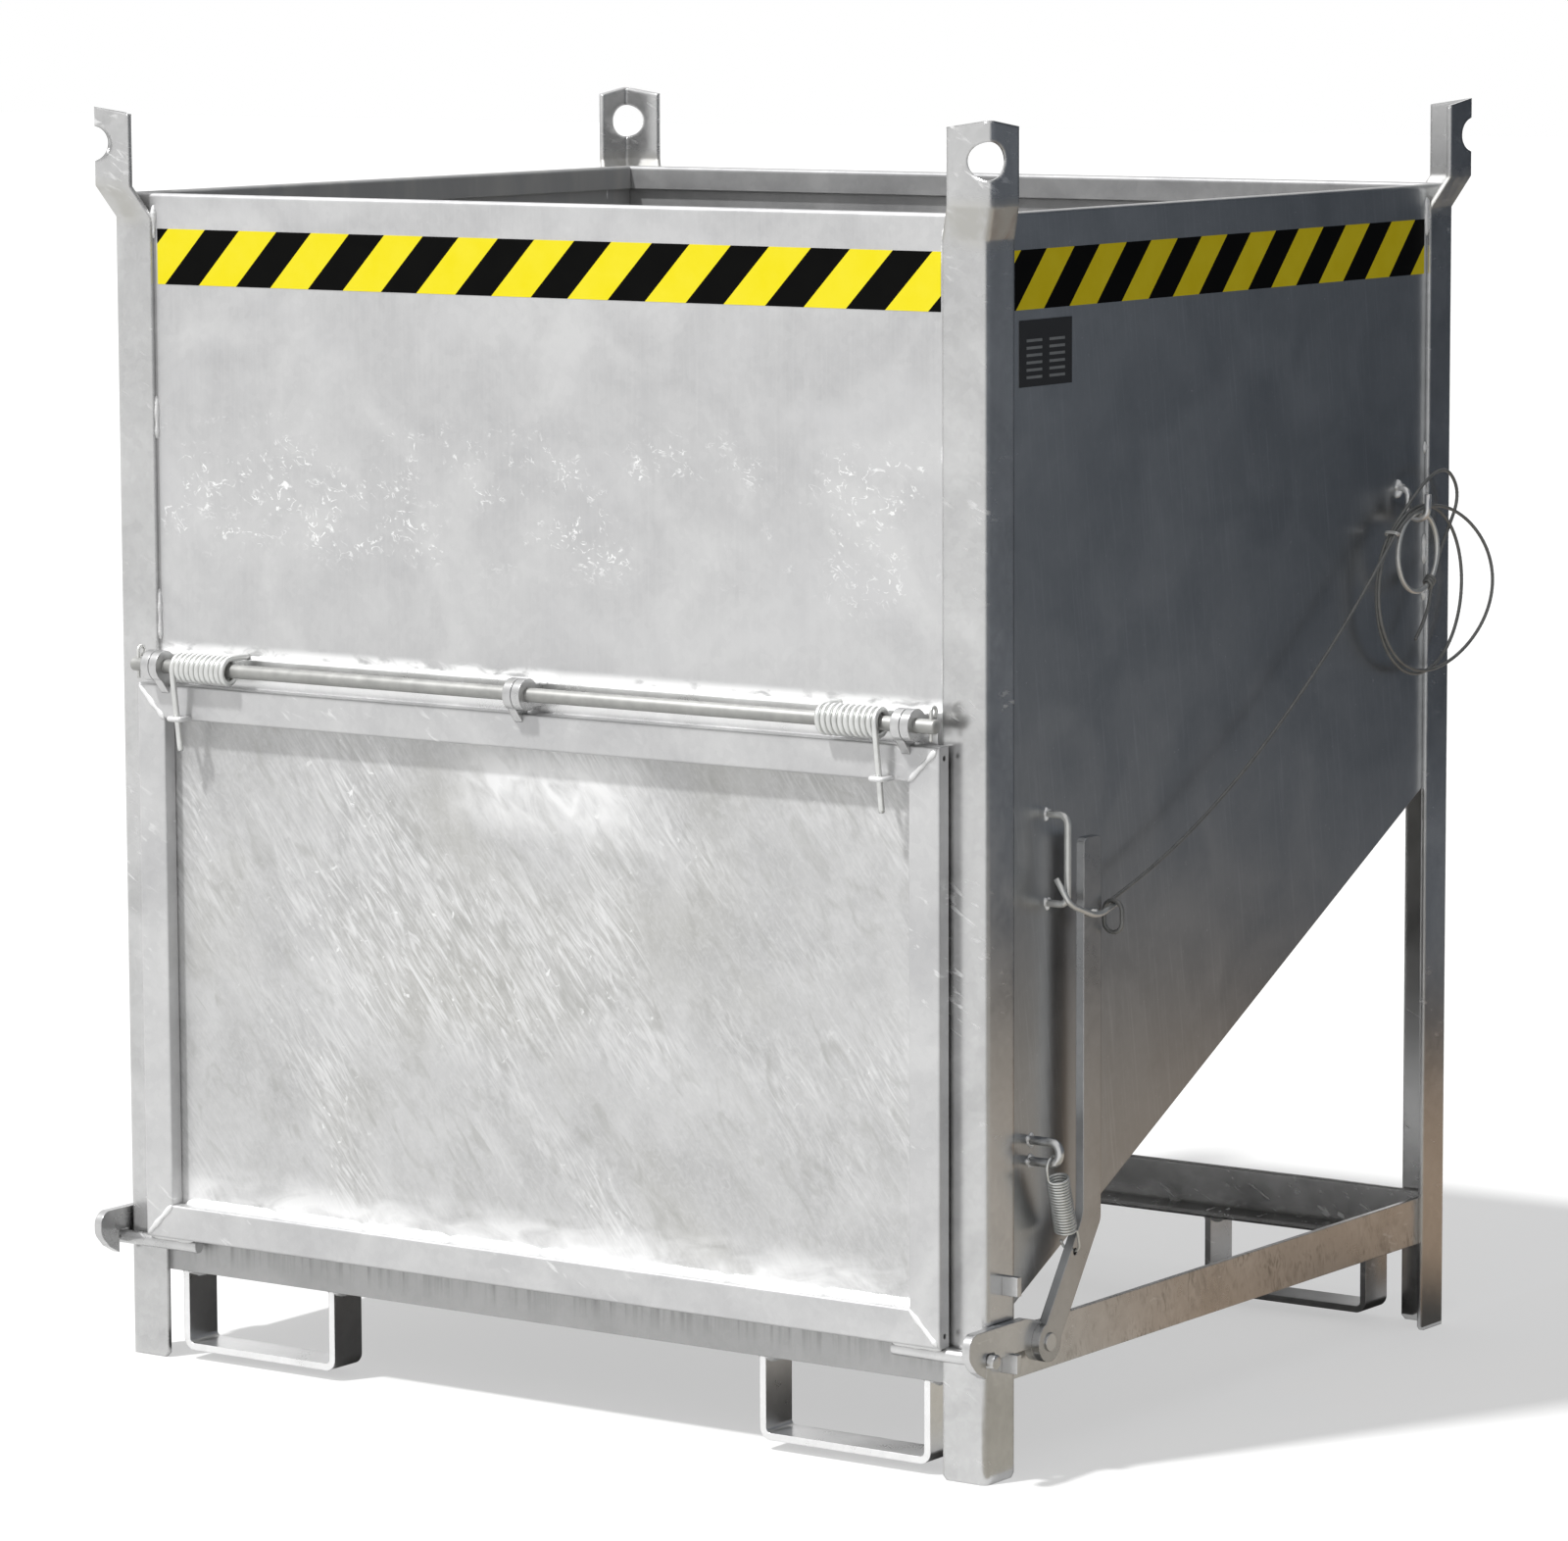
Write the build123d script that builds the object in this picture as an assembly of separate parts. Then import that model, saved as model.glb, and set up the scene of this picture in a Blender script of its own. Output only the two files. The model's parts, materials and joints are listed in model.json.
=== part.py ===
"""Cement silo container: a four-post steel hopper with a sprung front flap.

Millimetres. The origin is the middle of the footprint on the floor, +Z is up,
and the flap faces -Y. Each piece is written to parts/ as a node of its own.
"""

from build123d import *
import math
import os

os.makedirs("parts", exist_ok=True)

# Footprint and corner posts
width = 1200.0
depth = 1000.0
post_leg = 55.0
post_wall = 6.0
post_outer_bend = 8.0
post_inner_bend = 2.0
post_roof_drop = 8.0
foot_clip = 5.0
lug_shift = 16.5
lug_above_rim = 99.0
lug_bend_below_rim = 28.0
lug_bend_above_rim = 8.0
lug_hole_diameter = 40.0
lug_hole_below_ridge = 43.0

# Sheet walls
sheet = 3.0
rim_height = 1360.0
rim_fold_radius = 5.0
rim_lip_drop = 29.0
corner_gap = 0.5
chute_slope = 0.527

# Base frame of angle bars and fork loops
bar_height = 55.0
bar_depth = 50.0
bar_wall = 6.0
bar_bottom = 105.0
bar_notch_radius = 12.0
fork_bar = 8.0
fork_loop_width = 225.0
fork_loop_inset = 188.0
fork_loop_bottom = 12.0
fork_bend = 14.0

# Fits, and the sides that stand for a round section on bent bars and wires
running_clearance = 0.05
contact_gap = 0.2
bar_sides = 6
wire_sides = 5
spring_sides = 4
rope_sides = 5

# Hinge
hinge_height = 820.0
opening_below_hinge = 50.0
hinge_forward = 28.0
rod_diameter = 16.0
rod_proud = 2.0
rod_end_chamfer = 2.0
eye_thickness = 11.0
eye_radius = 18.0
eye_side_gap = 1.0
eye_arm_rise = 3.0
outer_eye_inset = 36.25
middle_eye_centre = 3.25
hinge_bar_thickness = 8.0
hinge_bar_end_gap = 5.0
split_pin_diameter = 4.0
split_pin_inset = 9.0
split_pin_tail = 16.0
split_pin_rise = 15.5
split_eye_radius = 5.0
split_eye_turn = 270.0

# Flap
flap_gap = 3.0
tube_face = 40.0
tube_depth = 20.0
tube_wall = 2.5
tube_round = 3.0
flap_side_overlap = 11.0
flap_below_sill_top = 12.0
flap_below_hinge = 22.0
flap_sheet_side_gap = 5.0
flap_sheet_low_overlap = 5.0
flap_sheet_top_gap = 5.0
vent_diameter = 6.0
vent_inset = 13.0
eye_tail = 10.0
eye_tail_front_angle = 15.0
eye_tail_rear_angle = 27.0

# Torsion springs on the hinge rod
torsion_wire = 7.0
torsion_mean_radius = 14.5
torsion_turns = 9
torsion_pitch = 8.2
torsion_eye_distance = 108.75
torsion_leg_tilt = 8.0
torsion_flap_leg = 95.0
torsion_body_leg = 31.0
spring_rest_bar = 6.0
spring_rest_span = 17.0
spring_rest_bend = 5.0

# Latch pins, hooks and stops
latch_pin_diameter = 16.0
latch_pin_overlap = 69.0
latch_pin_proud = 9.0
latch_pin_chamfer = 1.5
post_gap = 1.0
hook_plate = 10.0
hook_gap = 2.0
hook_boss_radius = 22.0
hook_nose_length = 32.0
hook_tip_below_pin = 10.0
hook_back = 25.0
hook_slot_gap = 1.0
hook_nose_radius = 16.0
hook_nose_lift = 25.0
hook_under_drop = 4.0
hook_shoulder = 10.0
hook_tip_length = 18.0
hook_tip_lift = 10.0
hook_slot_round = 4.0
stop_reach = 20.0
stop_thickness = 8.0
stop_length = 21.0
stop_setback = 58.0
hook_lift = 29.5

# Release shaft and lever
shaft_diameter = 20.0
shaft_setback = 93.0
shaft_above_pin = 4.0
shaft_proud = 2.0
lever_width = 35.0
lever_plate = 10.0
lever_bend_forward = 84.0
lever_bend_rise = 124.0
lever_rise = 541.0
lever_corner = 8.0
lever_spring_hole = 8.0
lever_hole_rise = 0.69
lever_hole_inset = 8.0

# Tension spring and the staple it hangs from
tension_wire = 3.0
tension_mean_radius = 11.5
tension_pitch = 3.8
tension_bend = 4.0
tension_lower_riser = 15.0
tension_upper_riser = 10.0
staple_bar = 10.0
staple_behind_shaft = 3.0
staple_above_shaft = 195.0
staple_spread = 23.0
staple_reach = 38.0
staple_bend = 11.0
tension_hook_reach = 28.0
tension_hook_slack = 1.0

# Keeper staple, lock hook and link
keeper_bar = 8.0
keeper_ahead = 48.0
keeper_above_pivot = 14.0
keeper_spread = 97.0
keeper_reach = 26.5
keeper_bend = 10.0
lock_rod = 6.5
lock_pivot = 8.0
lock_pivot_below_top = 83.0
lock_gap = 0.75
lock_rod_drop = 4.0
lock_rod_bend = 50.0
lock_tip_bend = 18.0
lock_rear_reach = 37.0
lock_rear_rise = 6.0
lock_front_reach = 55.0
lock_front_rise = 15.0
lock_tip_forward = 9.0
lock_tip_inward = 12.5
lock_tip_rise = 44.0
lock_head_radius = 7.0
lock_head_thickness = 3.0
lock_head_gap = 0.5
link_wire = 5.0
link_half_width = 11.5
link_half_height = 17.5
link_behind_lever = 13.5

# Hook on the side panel, pull ring and wire rope
ring_hook_bar = 8.0
ring_hook_inset = 109.0
ring_hook_root = 1009.0
ring_hook_bend = 8.0
ring_hook_standoff = 13.0
ring_hook_radius = 13.0
ring_hook_drop = 34.0
ring_hook_tip_rise = 29.0
ring_wire = 6.0
ring_mean_radius = 46.0
rope = 4.0
tie_wire = 2.0
strand_step = 5.0
rope_arc_share = 0.45

half_width = width / 2
half_depth = depth / 2
post_inner_x = half_width - post_wall
post_inner_y = half_depth - post_wall
wall_inner_x = post_inner_x - sheet
wall_inner_y = post_inner_y - sheet
bar_top = bar_bottom + bar_height
front_y = -post_inner_y
post_front = -half_depth
post_ridge = rim_height + lug_above_rim
lug_bend_low = rim_height - lug_bend_below_rim
lug_bend_high = rim_height + lug_bend_above_rim
opening_top = hinge_height - opening_below_hinge
opening_half_width = half_width - post_leg
fork_loop_centre = half_width - fork_loop_inset
hinge_y = post_front - hinge_forward
flap_back = post_front - flap_gap
flap_front = flap_back - tube_depth
hinge_bar_front = front_y - hinge_bar_thickness
hinge_bar_half_length = opening_half_width - hinge_bar_end_gap
flap_half_width = opening_half_width + flap_side_overlap
flap_bottom = bar_top - flap_below_sill_top
flap_top = hinge_height - flap_below_hinge
flap_sheet_half_width = opening_half_width - flap_sheet_side_gap
flap_sheet_bottom = bar_top - flap_sheet_low_overlap
flap_sheet_top = opening_top - flap_sheet_top_gap
rod_half_length = flap_half_width + rod_proud
outer_eye_centre = flap_half_width - outer_eye_inset
torsion_inner_end = outer_eye_centre - torsion_eye_distance
hinge_bar_top = hinge_height + torsion_mean_radius - torsion_wire / 2 - contact_gap
latch_y = post_front - post_gap - latch_pin_diameter / 2
latch_z = flap_bottom - latch_pin_diameter / 2
hook_inner = half_width + hook_gap
hook_outer = hook_inner + hook_plate
lever_outer = hook_outer + lever_plate
latch_pin_inner_end = flap_half_width - latch_pin_overlap
latch_pin_outer_end = hook_outer + latch_pin_proud
slot_front = latch_y - latch_pin_diameter / 2 - hook_slot_gap
slot_rear = latch_y + latch_pin_diameter / 2 + hook_slot_gap
slot_top = latch_z + latch_pin_diameter / 2 + hook_slot_gap
hook_top = slot_top + hook_back
shaft_y = post_front + shaft_setback
shaft_height = latch_z + shaft_above_pin
lever_y = shaft_y + lever_bend_forward
lever_top = shaft_height + lever_rise
hook_under = shaft_height - hook_under_drop
staple_y = shaft_y + staple_behind_shaft
staple_low = shaft_height + staple_above_shaft
lock_pivot_height = lever_top - lock_pivot_below_top
keeper_y = lever_y - keeper_ahead
keeper_low = lock_pivot_height + keeper_above_pivot
keeper_high = keeper_low + keeper_spread
ring_hook_place = post_inner_y - ring_hook_inset
ring_hook_low = ring_hook_root - ring_hook_drop
ring_hook_tip = ring_hook_low + ring_hook_tip_rise
lock_x = post_inner_x + keeper_reach + keeper_bar / 2 + lock_gap + lock_rod / 2

nodes = []


def save(name, *solids):
    """Writes one node, a single solid or a group of like pieces."""
    shape = solids[0] if len(solids) == 1 else Compound(children=list(solids))
    export_step(shape, f"parts/{name}.step")
    nodes.append(name)


def outline(*points):
    """A flat face with straight sides through these points."""
    return make_face(Polyline(*points, close=True))


def rectangle(low, high):
    """A flat rectangle between two opposite corners."""
    return outline(low, (high[0], low[1]), high, (low[0], high[1]))


def rounded(face, place, radius):
    """The face with its corner at this place rounded."""
    corner = face.vertices().sort_by_distance(Vertex(*place))[0]
    return fillet(corner, radius)


def across(side_view, x_from, x_to):
    """A piece with this side view (Y, Z) between two places along X."""
    return extrude(Plane.YZ.offset(x_from) * side_view, amount=x_to - x_from)


def along(front_view, y_from, y_to):
    """A piece with this front view (X, Z) between two places along Y."""
    return extrude(Plane.XZ.offset(-y_to) * front_view, amount=y_to - y_from)


def upright(plan_view, z_from, z_to):
    """A piece with this plan view (X, Y) between two heights."""
    return extrude(Plane.XY.offset(z_from) * plan_view, amount=z_to - z_from)


def round_bar(start, end, diameter):
    """A straight round bar between two points."""
    run = Vector(*end) - Vector(*start)
    disc = Plane(origin=start, z_dir=run) * Circle(diameter / 2)
    return extrude(disc, amount=run.length)


def tube_on(path, diameter, sides):
    """A bent bar, wire or rope with this many sides, drawn along a path's lines and turned along its arcs."""
    start = (Plane(origin=path @ 0, z_dir=path % 0) * RegularPolygon(diameter / 2, sides)).face()
    end = start
    walls = []
    for piece in path.order_edges():
        rim = end.edges()
        if piece.geom_type == GeomType.LINE:
            run = piece @ 1 - piece @ 0
            walls += [Face.extrude(side, run) for side in rim]
            end = end.moved(Pos(*run))
        else:
            axis = Axis(piece.arc_center, (piece @ 0 - piece.arc_center).cross(piece % 0))
            turn = math.degrees(piece.length / piece.radius)
            walls += [Face.revolve(side, turn, axis) for side in rim]
            end = end.rotate(axis, turn)
    caps = [] if path.is_closed else [start, end]
    return Solid(Shell(walls + caps))


def biarc(start, heading, end, final_heading):
    """Two arcs that leave start along heading and reach end along final_heading."""
    run = end - start
    both = heading + final_heading
    spread = 2 * (1 - heading.dot(final_heading))
    reach = run.dot(both)
    arm = (math.sqrt(reach**2 + spread * run.dot(run)) - reach) / spread
    middle = (start + end + (heading - final_heading) * arm) * 0.5
    turn = (end - final_heading * arm) - (start + heading * arm)
    return [
        Edge.make_tangent_arc(start, heading, middle),
        Edge.make_tangent_arc(middle, turn, end),
    ]


def through(knots):
    """Biarcs through a list of (place, heading) pairs."""
    edges = []
    for (start, heading), (end, final_heading) in zip(knots, knots[1:]):
        edges += biarc(start, heading.normalized(), end, final_heading.normalized())
    return edges


def least_gap(path, diameter, samples):
    """The least clear distance from a tube to itself, leaving out its next few diameters."""
    points = [path @ (i / samples) for i in range(samples + 1)]
    step = path.length / samples
    skip = math.ceil(math.pi * diameter / step)
    nearest = min(
        (points[i] - points[j]).length
        for i in range(len(points))
        for j in range(i + skip, len(points))
    )
    return nearest - diameter


def both_sides(piece):
    """A piece and its mirror image across the middle of the container."""
    return piece, mirror(piece, about=Plane.YZ)


def angle_section(leg_x, leg_y, wall, outer_bend, inner_bend):
    """A folded angle in plan: its outer corner at the origin, its legs along -X and -Y."""
    face = outline((0, 0), (-leg_x, 0), (-leg_x, -wall), (-wall, -wall), (-wall, -leg_y), (0, -leg_y))
    face = rounded(face, (0, 0), outer_bend)
    return rounded(face, (-wall, -wall), inner_bend)


def post():
    """The rear right post: an angle whose top is set outward to take the foot of another container."""
    section = angle_section(post_leg, post_leg, post_wall, post_outer_bend, post_inner_bend)
    foot = Pos(half_width, half_depth) * section
    lug_x = half_width + lug_shift
    lug_y = half_depth + lug_shift
    lug = Pos(lug_x, lug_y) * section
    bend = loft([Pos(0, 0, lug_bend_low) * foot, Pos(0, 0, lug_bend_high) * lug], ruled=True)
    body = upright(foot, 0, lug_bend_low) + bend + upright(lug, lug_bend_high, post_ridge)
    fall = post_roof_drop / post_leg
    roof = Plane(origin=(lug_x, lug_y, post_ridge), z_dir=(-fall, -fall, 1))
    body -= roof * Box(6 * post_leg, 6 * post_leg, post_leg, align=(Align.CENTER, Align.CENTER, Align.MIN))
    hole_height = post_ridge - lug_hole_below_ridge
    diagonal = Plane(origin=(lug_x, lug_y, hole_height), z_dir=(1, 1, 0))
    body -= diagonal * Cylinder(lug_hole_diameter / 2, 4 * post_leg)
    clip = outline((0, 0), (foot_clip, 0), (0, foot_clip))
    free_x = half_width - post_leg
    free_y = half_depth - post_leg
    body -= along(Pos(free_x, 0) * clip, post_inner_y, half_depth)
    return body - across(Pos(free_y, 0) * clip, post_inner_x, half_width)


def rim_section(low):
    """A wall in section: inward distance across, height up, with its top folded in and down."""
    bend_height = rim_height - rim_fold_radius
    inner_radius = rim_fold_radius - sheet
    lip = 2 * rim_fold_radius
    lip_low = rim_height - rim_lip_drop
    middle = rim_fold_radius
    return make_face(
        [
            Edge.make_line((0, low), (0, bend_height)),
            Edge.make_three_point_arc((0, bend_height), (middle, rim_height), (lip, bend_height)),
            Edge.make_line((lip, bend_height), (lip, lip_low)),
            Edge.make_line((lip, lip_low), (lip - sheet, lip_low)),
            Edge.make_line((lip - sheet, lip_low), (lip - sheet, bend_height)),
            Edge.make_three_point_arc(
                (lip - sheet, bend_height), (middle, bend_height + inner_radius), (sheet, bend_height)
            ),
            Edge.make_line((sheet, bend_height), (sheet, low)),
            Edge.make_line((sheet, low), (0, low)),
        ]
    )


def chute_height(y):
    """The height of the chute floor's underside at a place along Y."""
    return bar_top + chute_slope * (y - front_y - bar_wall)


def front_panel():
    """The wall above the discharge opening."""
    half = wall_inner_x - corner_gap
    return across(Pos(front_y, 0) * rim_section(opening_top), -half, half)


def rear_panel():
    """The back wall, from the top of the chute to the rim."""
    half = wall_inner_x - corner_gap
    low = chute_height(wall_inner_y)
    return mirror(across(Pos(front_y, 0) * rim_section(low), -half, half), about=Plane.XZ)


def right_panel():
    """A side wall, cut along the chute, with its rim fold stopped short of the corners."""
    bend_height = rim_height - rim_fold_radius
    flat = outline(
        (-wall_inner_y, bar_top),
        (front_y + bar_wall, bar_top),
        (wall_inner_y, chute_height(wall_inner_y)),
        (wall_inner_y, bend_height),
        (-wall_inner_y, bend_height),
    )
    fold_end = post_inner_y - 2 * rim_fold_radius - corner_gap
    fold = mirror(rim_section(rim_height - rim_lip_drop), about=Plane.YZ)
    return across(flat, wall_inner_x, post_inner_x) + along(Pos(post_inner_x, 0) * fold, -fold_end, fold_end)


def chute_floor():
    """The sloping floor, with a level lip on the front sill."""
    angle = math.atan(chute_slope)
    lip_end = front_y + bar_wall
    rise = sheet / math.cos(angle)
    inner_bend = lip_end - (rise - sheet) / chute_slope
    rear_low = chute_height(wall_inner_y)
    side = outline(
        (front_y, bar_top),
        (lip_end, bar_top),
        (wall_inner_y, rear_low),
        (wall_inner_y, rear_low + rise),
        (inner_bend, bar_top + sheet),
        (front_y, bar_top + sheet),
    )
    return across(side, -wall_inner_x, wall_inner_x)


def bar_section():
    """An angle bar seen from its end: its corner at the origin, upright leg along Z, foot along +X."""
    return outline(
        (0, 0),
        (bar_depth, 0),
        (bar_depth, bar_wall),
        (bar_wall, bar_wall),
        (bar_wall, bar_height),
        (0, bar_height),
    )


def front_sill():
    """The bar under the discharge opening, its ends against the side bars."""
    half = post_inner_x - bar_wall
    return across(Pos(front_y, bar_bottom) * bar_section(), -half, half)


def rear_crossbar():
    """The rear bar of the base frame, its foot notched round at the posts."""
    bar = mirror(front_sill(), about=Plane.XZ)
    notch_y = post_inner_y - bar_depth
    half = post_inner_x - bar_wall
    for x in (-half, half):
        bar -= Pos(x, notch_y, bar_bottom) * Cylinder(bar_notch_radius, 4 * bar_wall)
    return bar


def right_side_bar():
    """A side bar of the base frame, with the hole that the release shaft turns in."""
    section = mirror(bar_section(), about=Plane.YZ)
    half = post_inner_y - bar_wall
    bar = along(Pos(post_inner_x, bar_bottom) * section, -half, half)
    foot_cut = bar_depth - bar_wall + corner_gap
    for end in (-1, 1):
        cut = Box(bar_depth - bar_wall, foot_cut, bar_wall, align=(Align.MAX, Align.CENTER, Align.MIN))
        bar -= Pos(post_inner_x - bar_wall, end * (half - foot_cut / 2), bar_bottom) * cut
    hole = round_bar(
        (post_inner_x - 2 * bar_wall, shaft_y, shaft_height),
        (post_inner_x + bar_wall, shaft_y, shaft_height),
        shaft_diameter + 2 * running_clearance,
    )
    return bar - hole


def fork_loop(centre, y_from):
    """A flat bar bent to a U under the base frame, which a fork tine passes through."""
    half = fork_loop_width / 2
    outer = rectangle((-half, fork_loop_bottom), (half, bar_bottom))
    inner_half = half - fork_bar
    inner_bottom = fork_loop_bottom + fork_bar
    inner = rectangle((-inner_half, inner_bottom), (inner_half, bar_bottom))
    for end in (-1, 1):
        outer = rounded(outer, (end * half, fork_loop_bottom), fork_bend)
        inner = rounded(inner, (end * inner_half, inner_bottom), fork_bend - fork_bar)
    return along(Pos(centre, 0) * (outer - inner), y_from, y_from + bar_depth)


def hinge_bar():
    """The flat bar across the front panel that carries the hinge."""
    side = rectangle((hinge_bar_front, opening_top), (front_y, hinge_bar_top))
    return across(side, -hinge_bar_half_length, hinge_bar_half_length)


def eye_bore():
    """The hole for the hinge rod in side view."""
    return Pos(hinge_y, hinge_height) * Circle(rod_diameter / 2 + running_clearance)


def body_eye(centre):
    """A hinge eye with its arm welded to the hinge bar."""
    arm_low = hinge_height - eye_radius + eye_arm_rise
    arm = rectangle((hinge_y, arm_low), (hinge_bar_front, hinge_bar_top))
    side = Pos(hinge_y, hinge_height) * Circle(eye_radius) + arm - eye_bore()
    return across(side, centre - eye_thickness / 2, centre + eye_thickness / 2)


def flap_eye(centre):
    """A hinge eye that stands on the flap's top tube and runs down its face."""
    front = math.radians(eye_tail_front_angle)
    rear = math.radians(eye_tail_rear_angle)
    tail = outline(
        (hinge_y - eye_radius * math.cos(front), hinge_height - eye_radius * math.sin(front)),
        (flap_front, flap_top - eye_tail),
        (flap_front, flap_top),
        (flap_front + eye_radius / 2, flap_top),
        (hinge_y + eye_radius * math.cos(rear), hinge_height - eye_radius * math.sin(rear)),
        (hinge_y, hinge_height),
    )
    side = Pos(hinge_y, hinge_height) * Circle(eye_radius) + tail - eye_bore()
    return across(side, centre - eye_thickness / 2, centre + eye_thickness / 2)


def eye_places(flap_side):
    """Where the eyes stand along X: the container's outside the flap's at the ends."""
    apart = (eye_thickness + eye_side_gap) / 2
    shift = -apart if flap_side else apart
    return (-outer_eye_centre - shift, middle_eye_centre + shift, outer_eye_centre + shift)


def hinge_rod():
    """The rod through all six eyes, drilled across near its ends for split pins."""
    left_end = (-rod_half_length, hinge_y, hinge_height)
    right_end = (rod_half_length, hinge_y, hinge_height)
    rod = round_bar(left_end, right_end, rod_diameter)
    rod = chamfer(rod.edges().filter_by(GeomType.CIRCLE), rod_end_chamfer)
    drill = Cylinder(split_pin_diameter / 2 + running_clearance, 2 * rod_diameter)
    for x in (-rod_half_length + split_pin_inset, rod_half_length - split_pin_inset):
        rod -= Pos(x, hinge_y, hinge_height) * drill
    return rod


def split_pin():
    """A split pin across the rod: a straight shank and a round eye above."""
    x = rod_half_length - split_pin_inset
    neck = Vector(x, hinge_y, hinge_height + split_pin_rise)
    tail = Vector(x, hinge_y, hinge_height - split_pin_tail)
    middle = neck + Vector(0, split_eye_radius, 0)
    end_angle = math.radians(split_eye_turn)
    arc_end = middle + Vector(0, -math.cos(end_angle), math.sin(end_angle)) * split_eye_radius
    arc = Edge.make_tangent_arc(neck, Vector(0, 0, 1), arc_end)
    return tube_on(Wire([Edge.make_line(tail, neck), arc]), split_pin_diameter, bar_sides)


def tube_section():
    """The flap frame's tube in section, its face along +Y of the sketch."""
    bore = Rectangle(tube_depth - 2 * tube_wall, tube_face - 2 * tube_wall)
    return RectangleRounded(tube_depth, tube_face, tube_round) - bore


def flap_cross_tube(edge, inward):
    """The top or bottom tube of the flap frame, mitred, from its outer edge inward (up or down)."""
    middle_y = (flap_front + flap_back) / 2
    inner = edge + inward * tube_face
    inner_half = flap_half_width - tube_face
    section = Pos(middle_y, (edge + inner) / 2) * tube_section()
    bar = across(section, -flap_half_width, flap_half_width)
    mitre = outline(
        (-flap_half_width, edge), (flap_half_width, edge), (inner_half, inner), (-inner_half, inner)
    )
    return bar & along(mitre, flap_front, flap_back)


def flap_right_tube():
    """A side tube of the flap frame, mitred, with a vent hole near each end for the zinc bath."""
    middle_y = (flap_front + flap_back) / 2
    inner_half = flap_half_width - tube_face
    section = Pos(flap_half_width - tube_face / 2, middle_y) * Rot(0, 0, 90) * tube_section()
    bar = upright(section, flap_bottom, flap_top)
    mitre = outline(
        (flap_half_width, flap_bottom),
        (flap_half_width, flap_top),
        (inner_half, flap_top - tube_face),
        (inner_half, flap_bottom + tube_face),
    )
    bar = bar & along(mitre, flap_front, flap_back)
    inside = flap_half_width - 2 * tube_wall
    outside = flap_half_width + tube_wall
    for height in (flap_bottom + vent_inset, flap_top - vent_inset):
        bar -= round_bar((inside, middle_y, height), (outside, middle_y, height), vent_diameter)
    return bar


def flap_sheet():
    """The sheet behind the flap frame that holds the cement back."""
    side = rectangle((flap_back, flap_sheet_bottom), (flap_back + sheet, flap_sheet_top))
    return across(side, -flap_sheet_half_width, flap_sheet_half_width)


def latch_pin():
    """A pin under the flap's bottom tube that the latch hook holds."""
    inner_end = (latch_pin_inner_end, latch_y, latch_z)
    outer_end = (latch_pin_outer_end, latch_y, latch_z)
    pin = round_bar(inner_end, outer_end, latch_pin_diameter)
    return chamfer(pin.edges().filter_by(GeomType.CIRCLE).sort_by(Axis.X)[-1], latch_pin_chamfer)


def torsion_path():
    """Right spring: a leg from the hinge bar, the coil, and a leg down the flap."""
    total = 2 * math.pi * torsion_turns + math.radians(90 + torsion_leg_tilt)
    rise = torsion_pitch / (2 * math.pi)
    halves = math.ceil(total / math.pi)
    knots = []
    for i in range(halves + 1):
        turn = total * i / halves
        place = Vector(
            torsion_inner_end + rise * turn,
            hinge_y - torsion_mean_radius * math.sin(turn),
            hinge_height + torsion_mean_radius * math.cos(turn),
        )
        drift = 0 if i in (0, halves) else rise / torsion_mean_radius
        knots.append((place, Vector(drift, -math.cos(turn), -math.sin(turn))))
    first, last = knots[0], knots[-1]
    body_leg = Edge.make_line(first[0] - first[1].normalized() * torsion_body_leg, first[0])
    flap_leg = Edge.make_line(last[0], last[0] + last[1].normalized() * torsion_flap_leg)
    return Wire([body_leg] + through(knots) + [flap_leg])


def spring_rest():
    """A staple at the foot of the flap's top tube that the right spring's leg runs through."""
    turn = math.radians(torsion_leg_tilt)
    leg_x = torsion_inner_end + torsion_pitch * (torsion_turns + (90 + torsion_leg_tilt) / 360)
    height = flap_top - tube_face + spring_rest_bar / 2
    drop = hinge_height - torsion_mean_radius * math.sin(turn) - height
    leg_y = hinge_y - torsion_mean_radius * math.cos(turn) + drop * math.tan(turn)
    front = leg_y - torsion_wire / 2 / math.cos(turn) - contact_gap - spring_rest_bar / 2
    left = leg_x - spring_rest_span / 2
    right = leg_x + spring_rest_span / 2
    path = FilletPolyline(
        (left, flap_front, height),
        (left, front, height),
        (right, front, height),
        (right, flap_front, height),
        radius=spring_rest_bend,
    )
    return tube_on(path, spring_rest_bar, bar_sides)


def hook_outline():
    """A latch hook in side view: boss on the shaft, shank, and a nose over the latch pin."""
    nose_y = slot_front - hook_nose_length
    tip = latch_z - latch_pin_diameter / 2 - hook_tip_below_pin
    shank_end = shaft_y - hook_boss_radius
    face = outline(
        (shaft_y, shaft_height + hook_boss_radius),
        (shank_end - hook_shoulder, hook_top),
        (nose_y, hook_top),
        (nose_y, tip + hook_nose_lift),
        (slot_front - hook_tip_length, tip + hook_tip_lift),
        (slot_front, tip),
        (slot_front, slot_top),
        (slot_rear, slot_top),
        (slot_rear, hook_under),
        (shank_end, hook_under),
        (shaft_y, shaft_height - hook_boss_radius),
    )
    face = rounded(face, (nose_y, hook_top), hook_nose_radius)
    face = rounded(face, (nose_y, tip + hook_nose_lift), hook_nose_radius)
    face = rounded(face, (slot_rear, slot_top), hook_slot_round)
    face = rounded(face, (slot_front, slot_top), hook_slot_round)
    face = rounded(face, (shank_end - hook_shoulder, hook_top), hook_nose_radius)
    return face + Pos(shaft_y, shaft_height) * Circle(hook_boss_radius)


def shaft_hole():
    """The shaft's seat in a hook or the lever, in side view."""
    return Pos(shaft_y, shaft_height) * Circle(shaft_diameter / 2)


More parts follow.
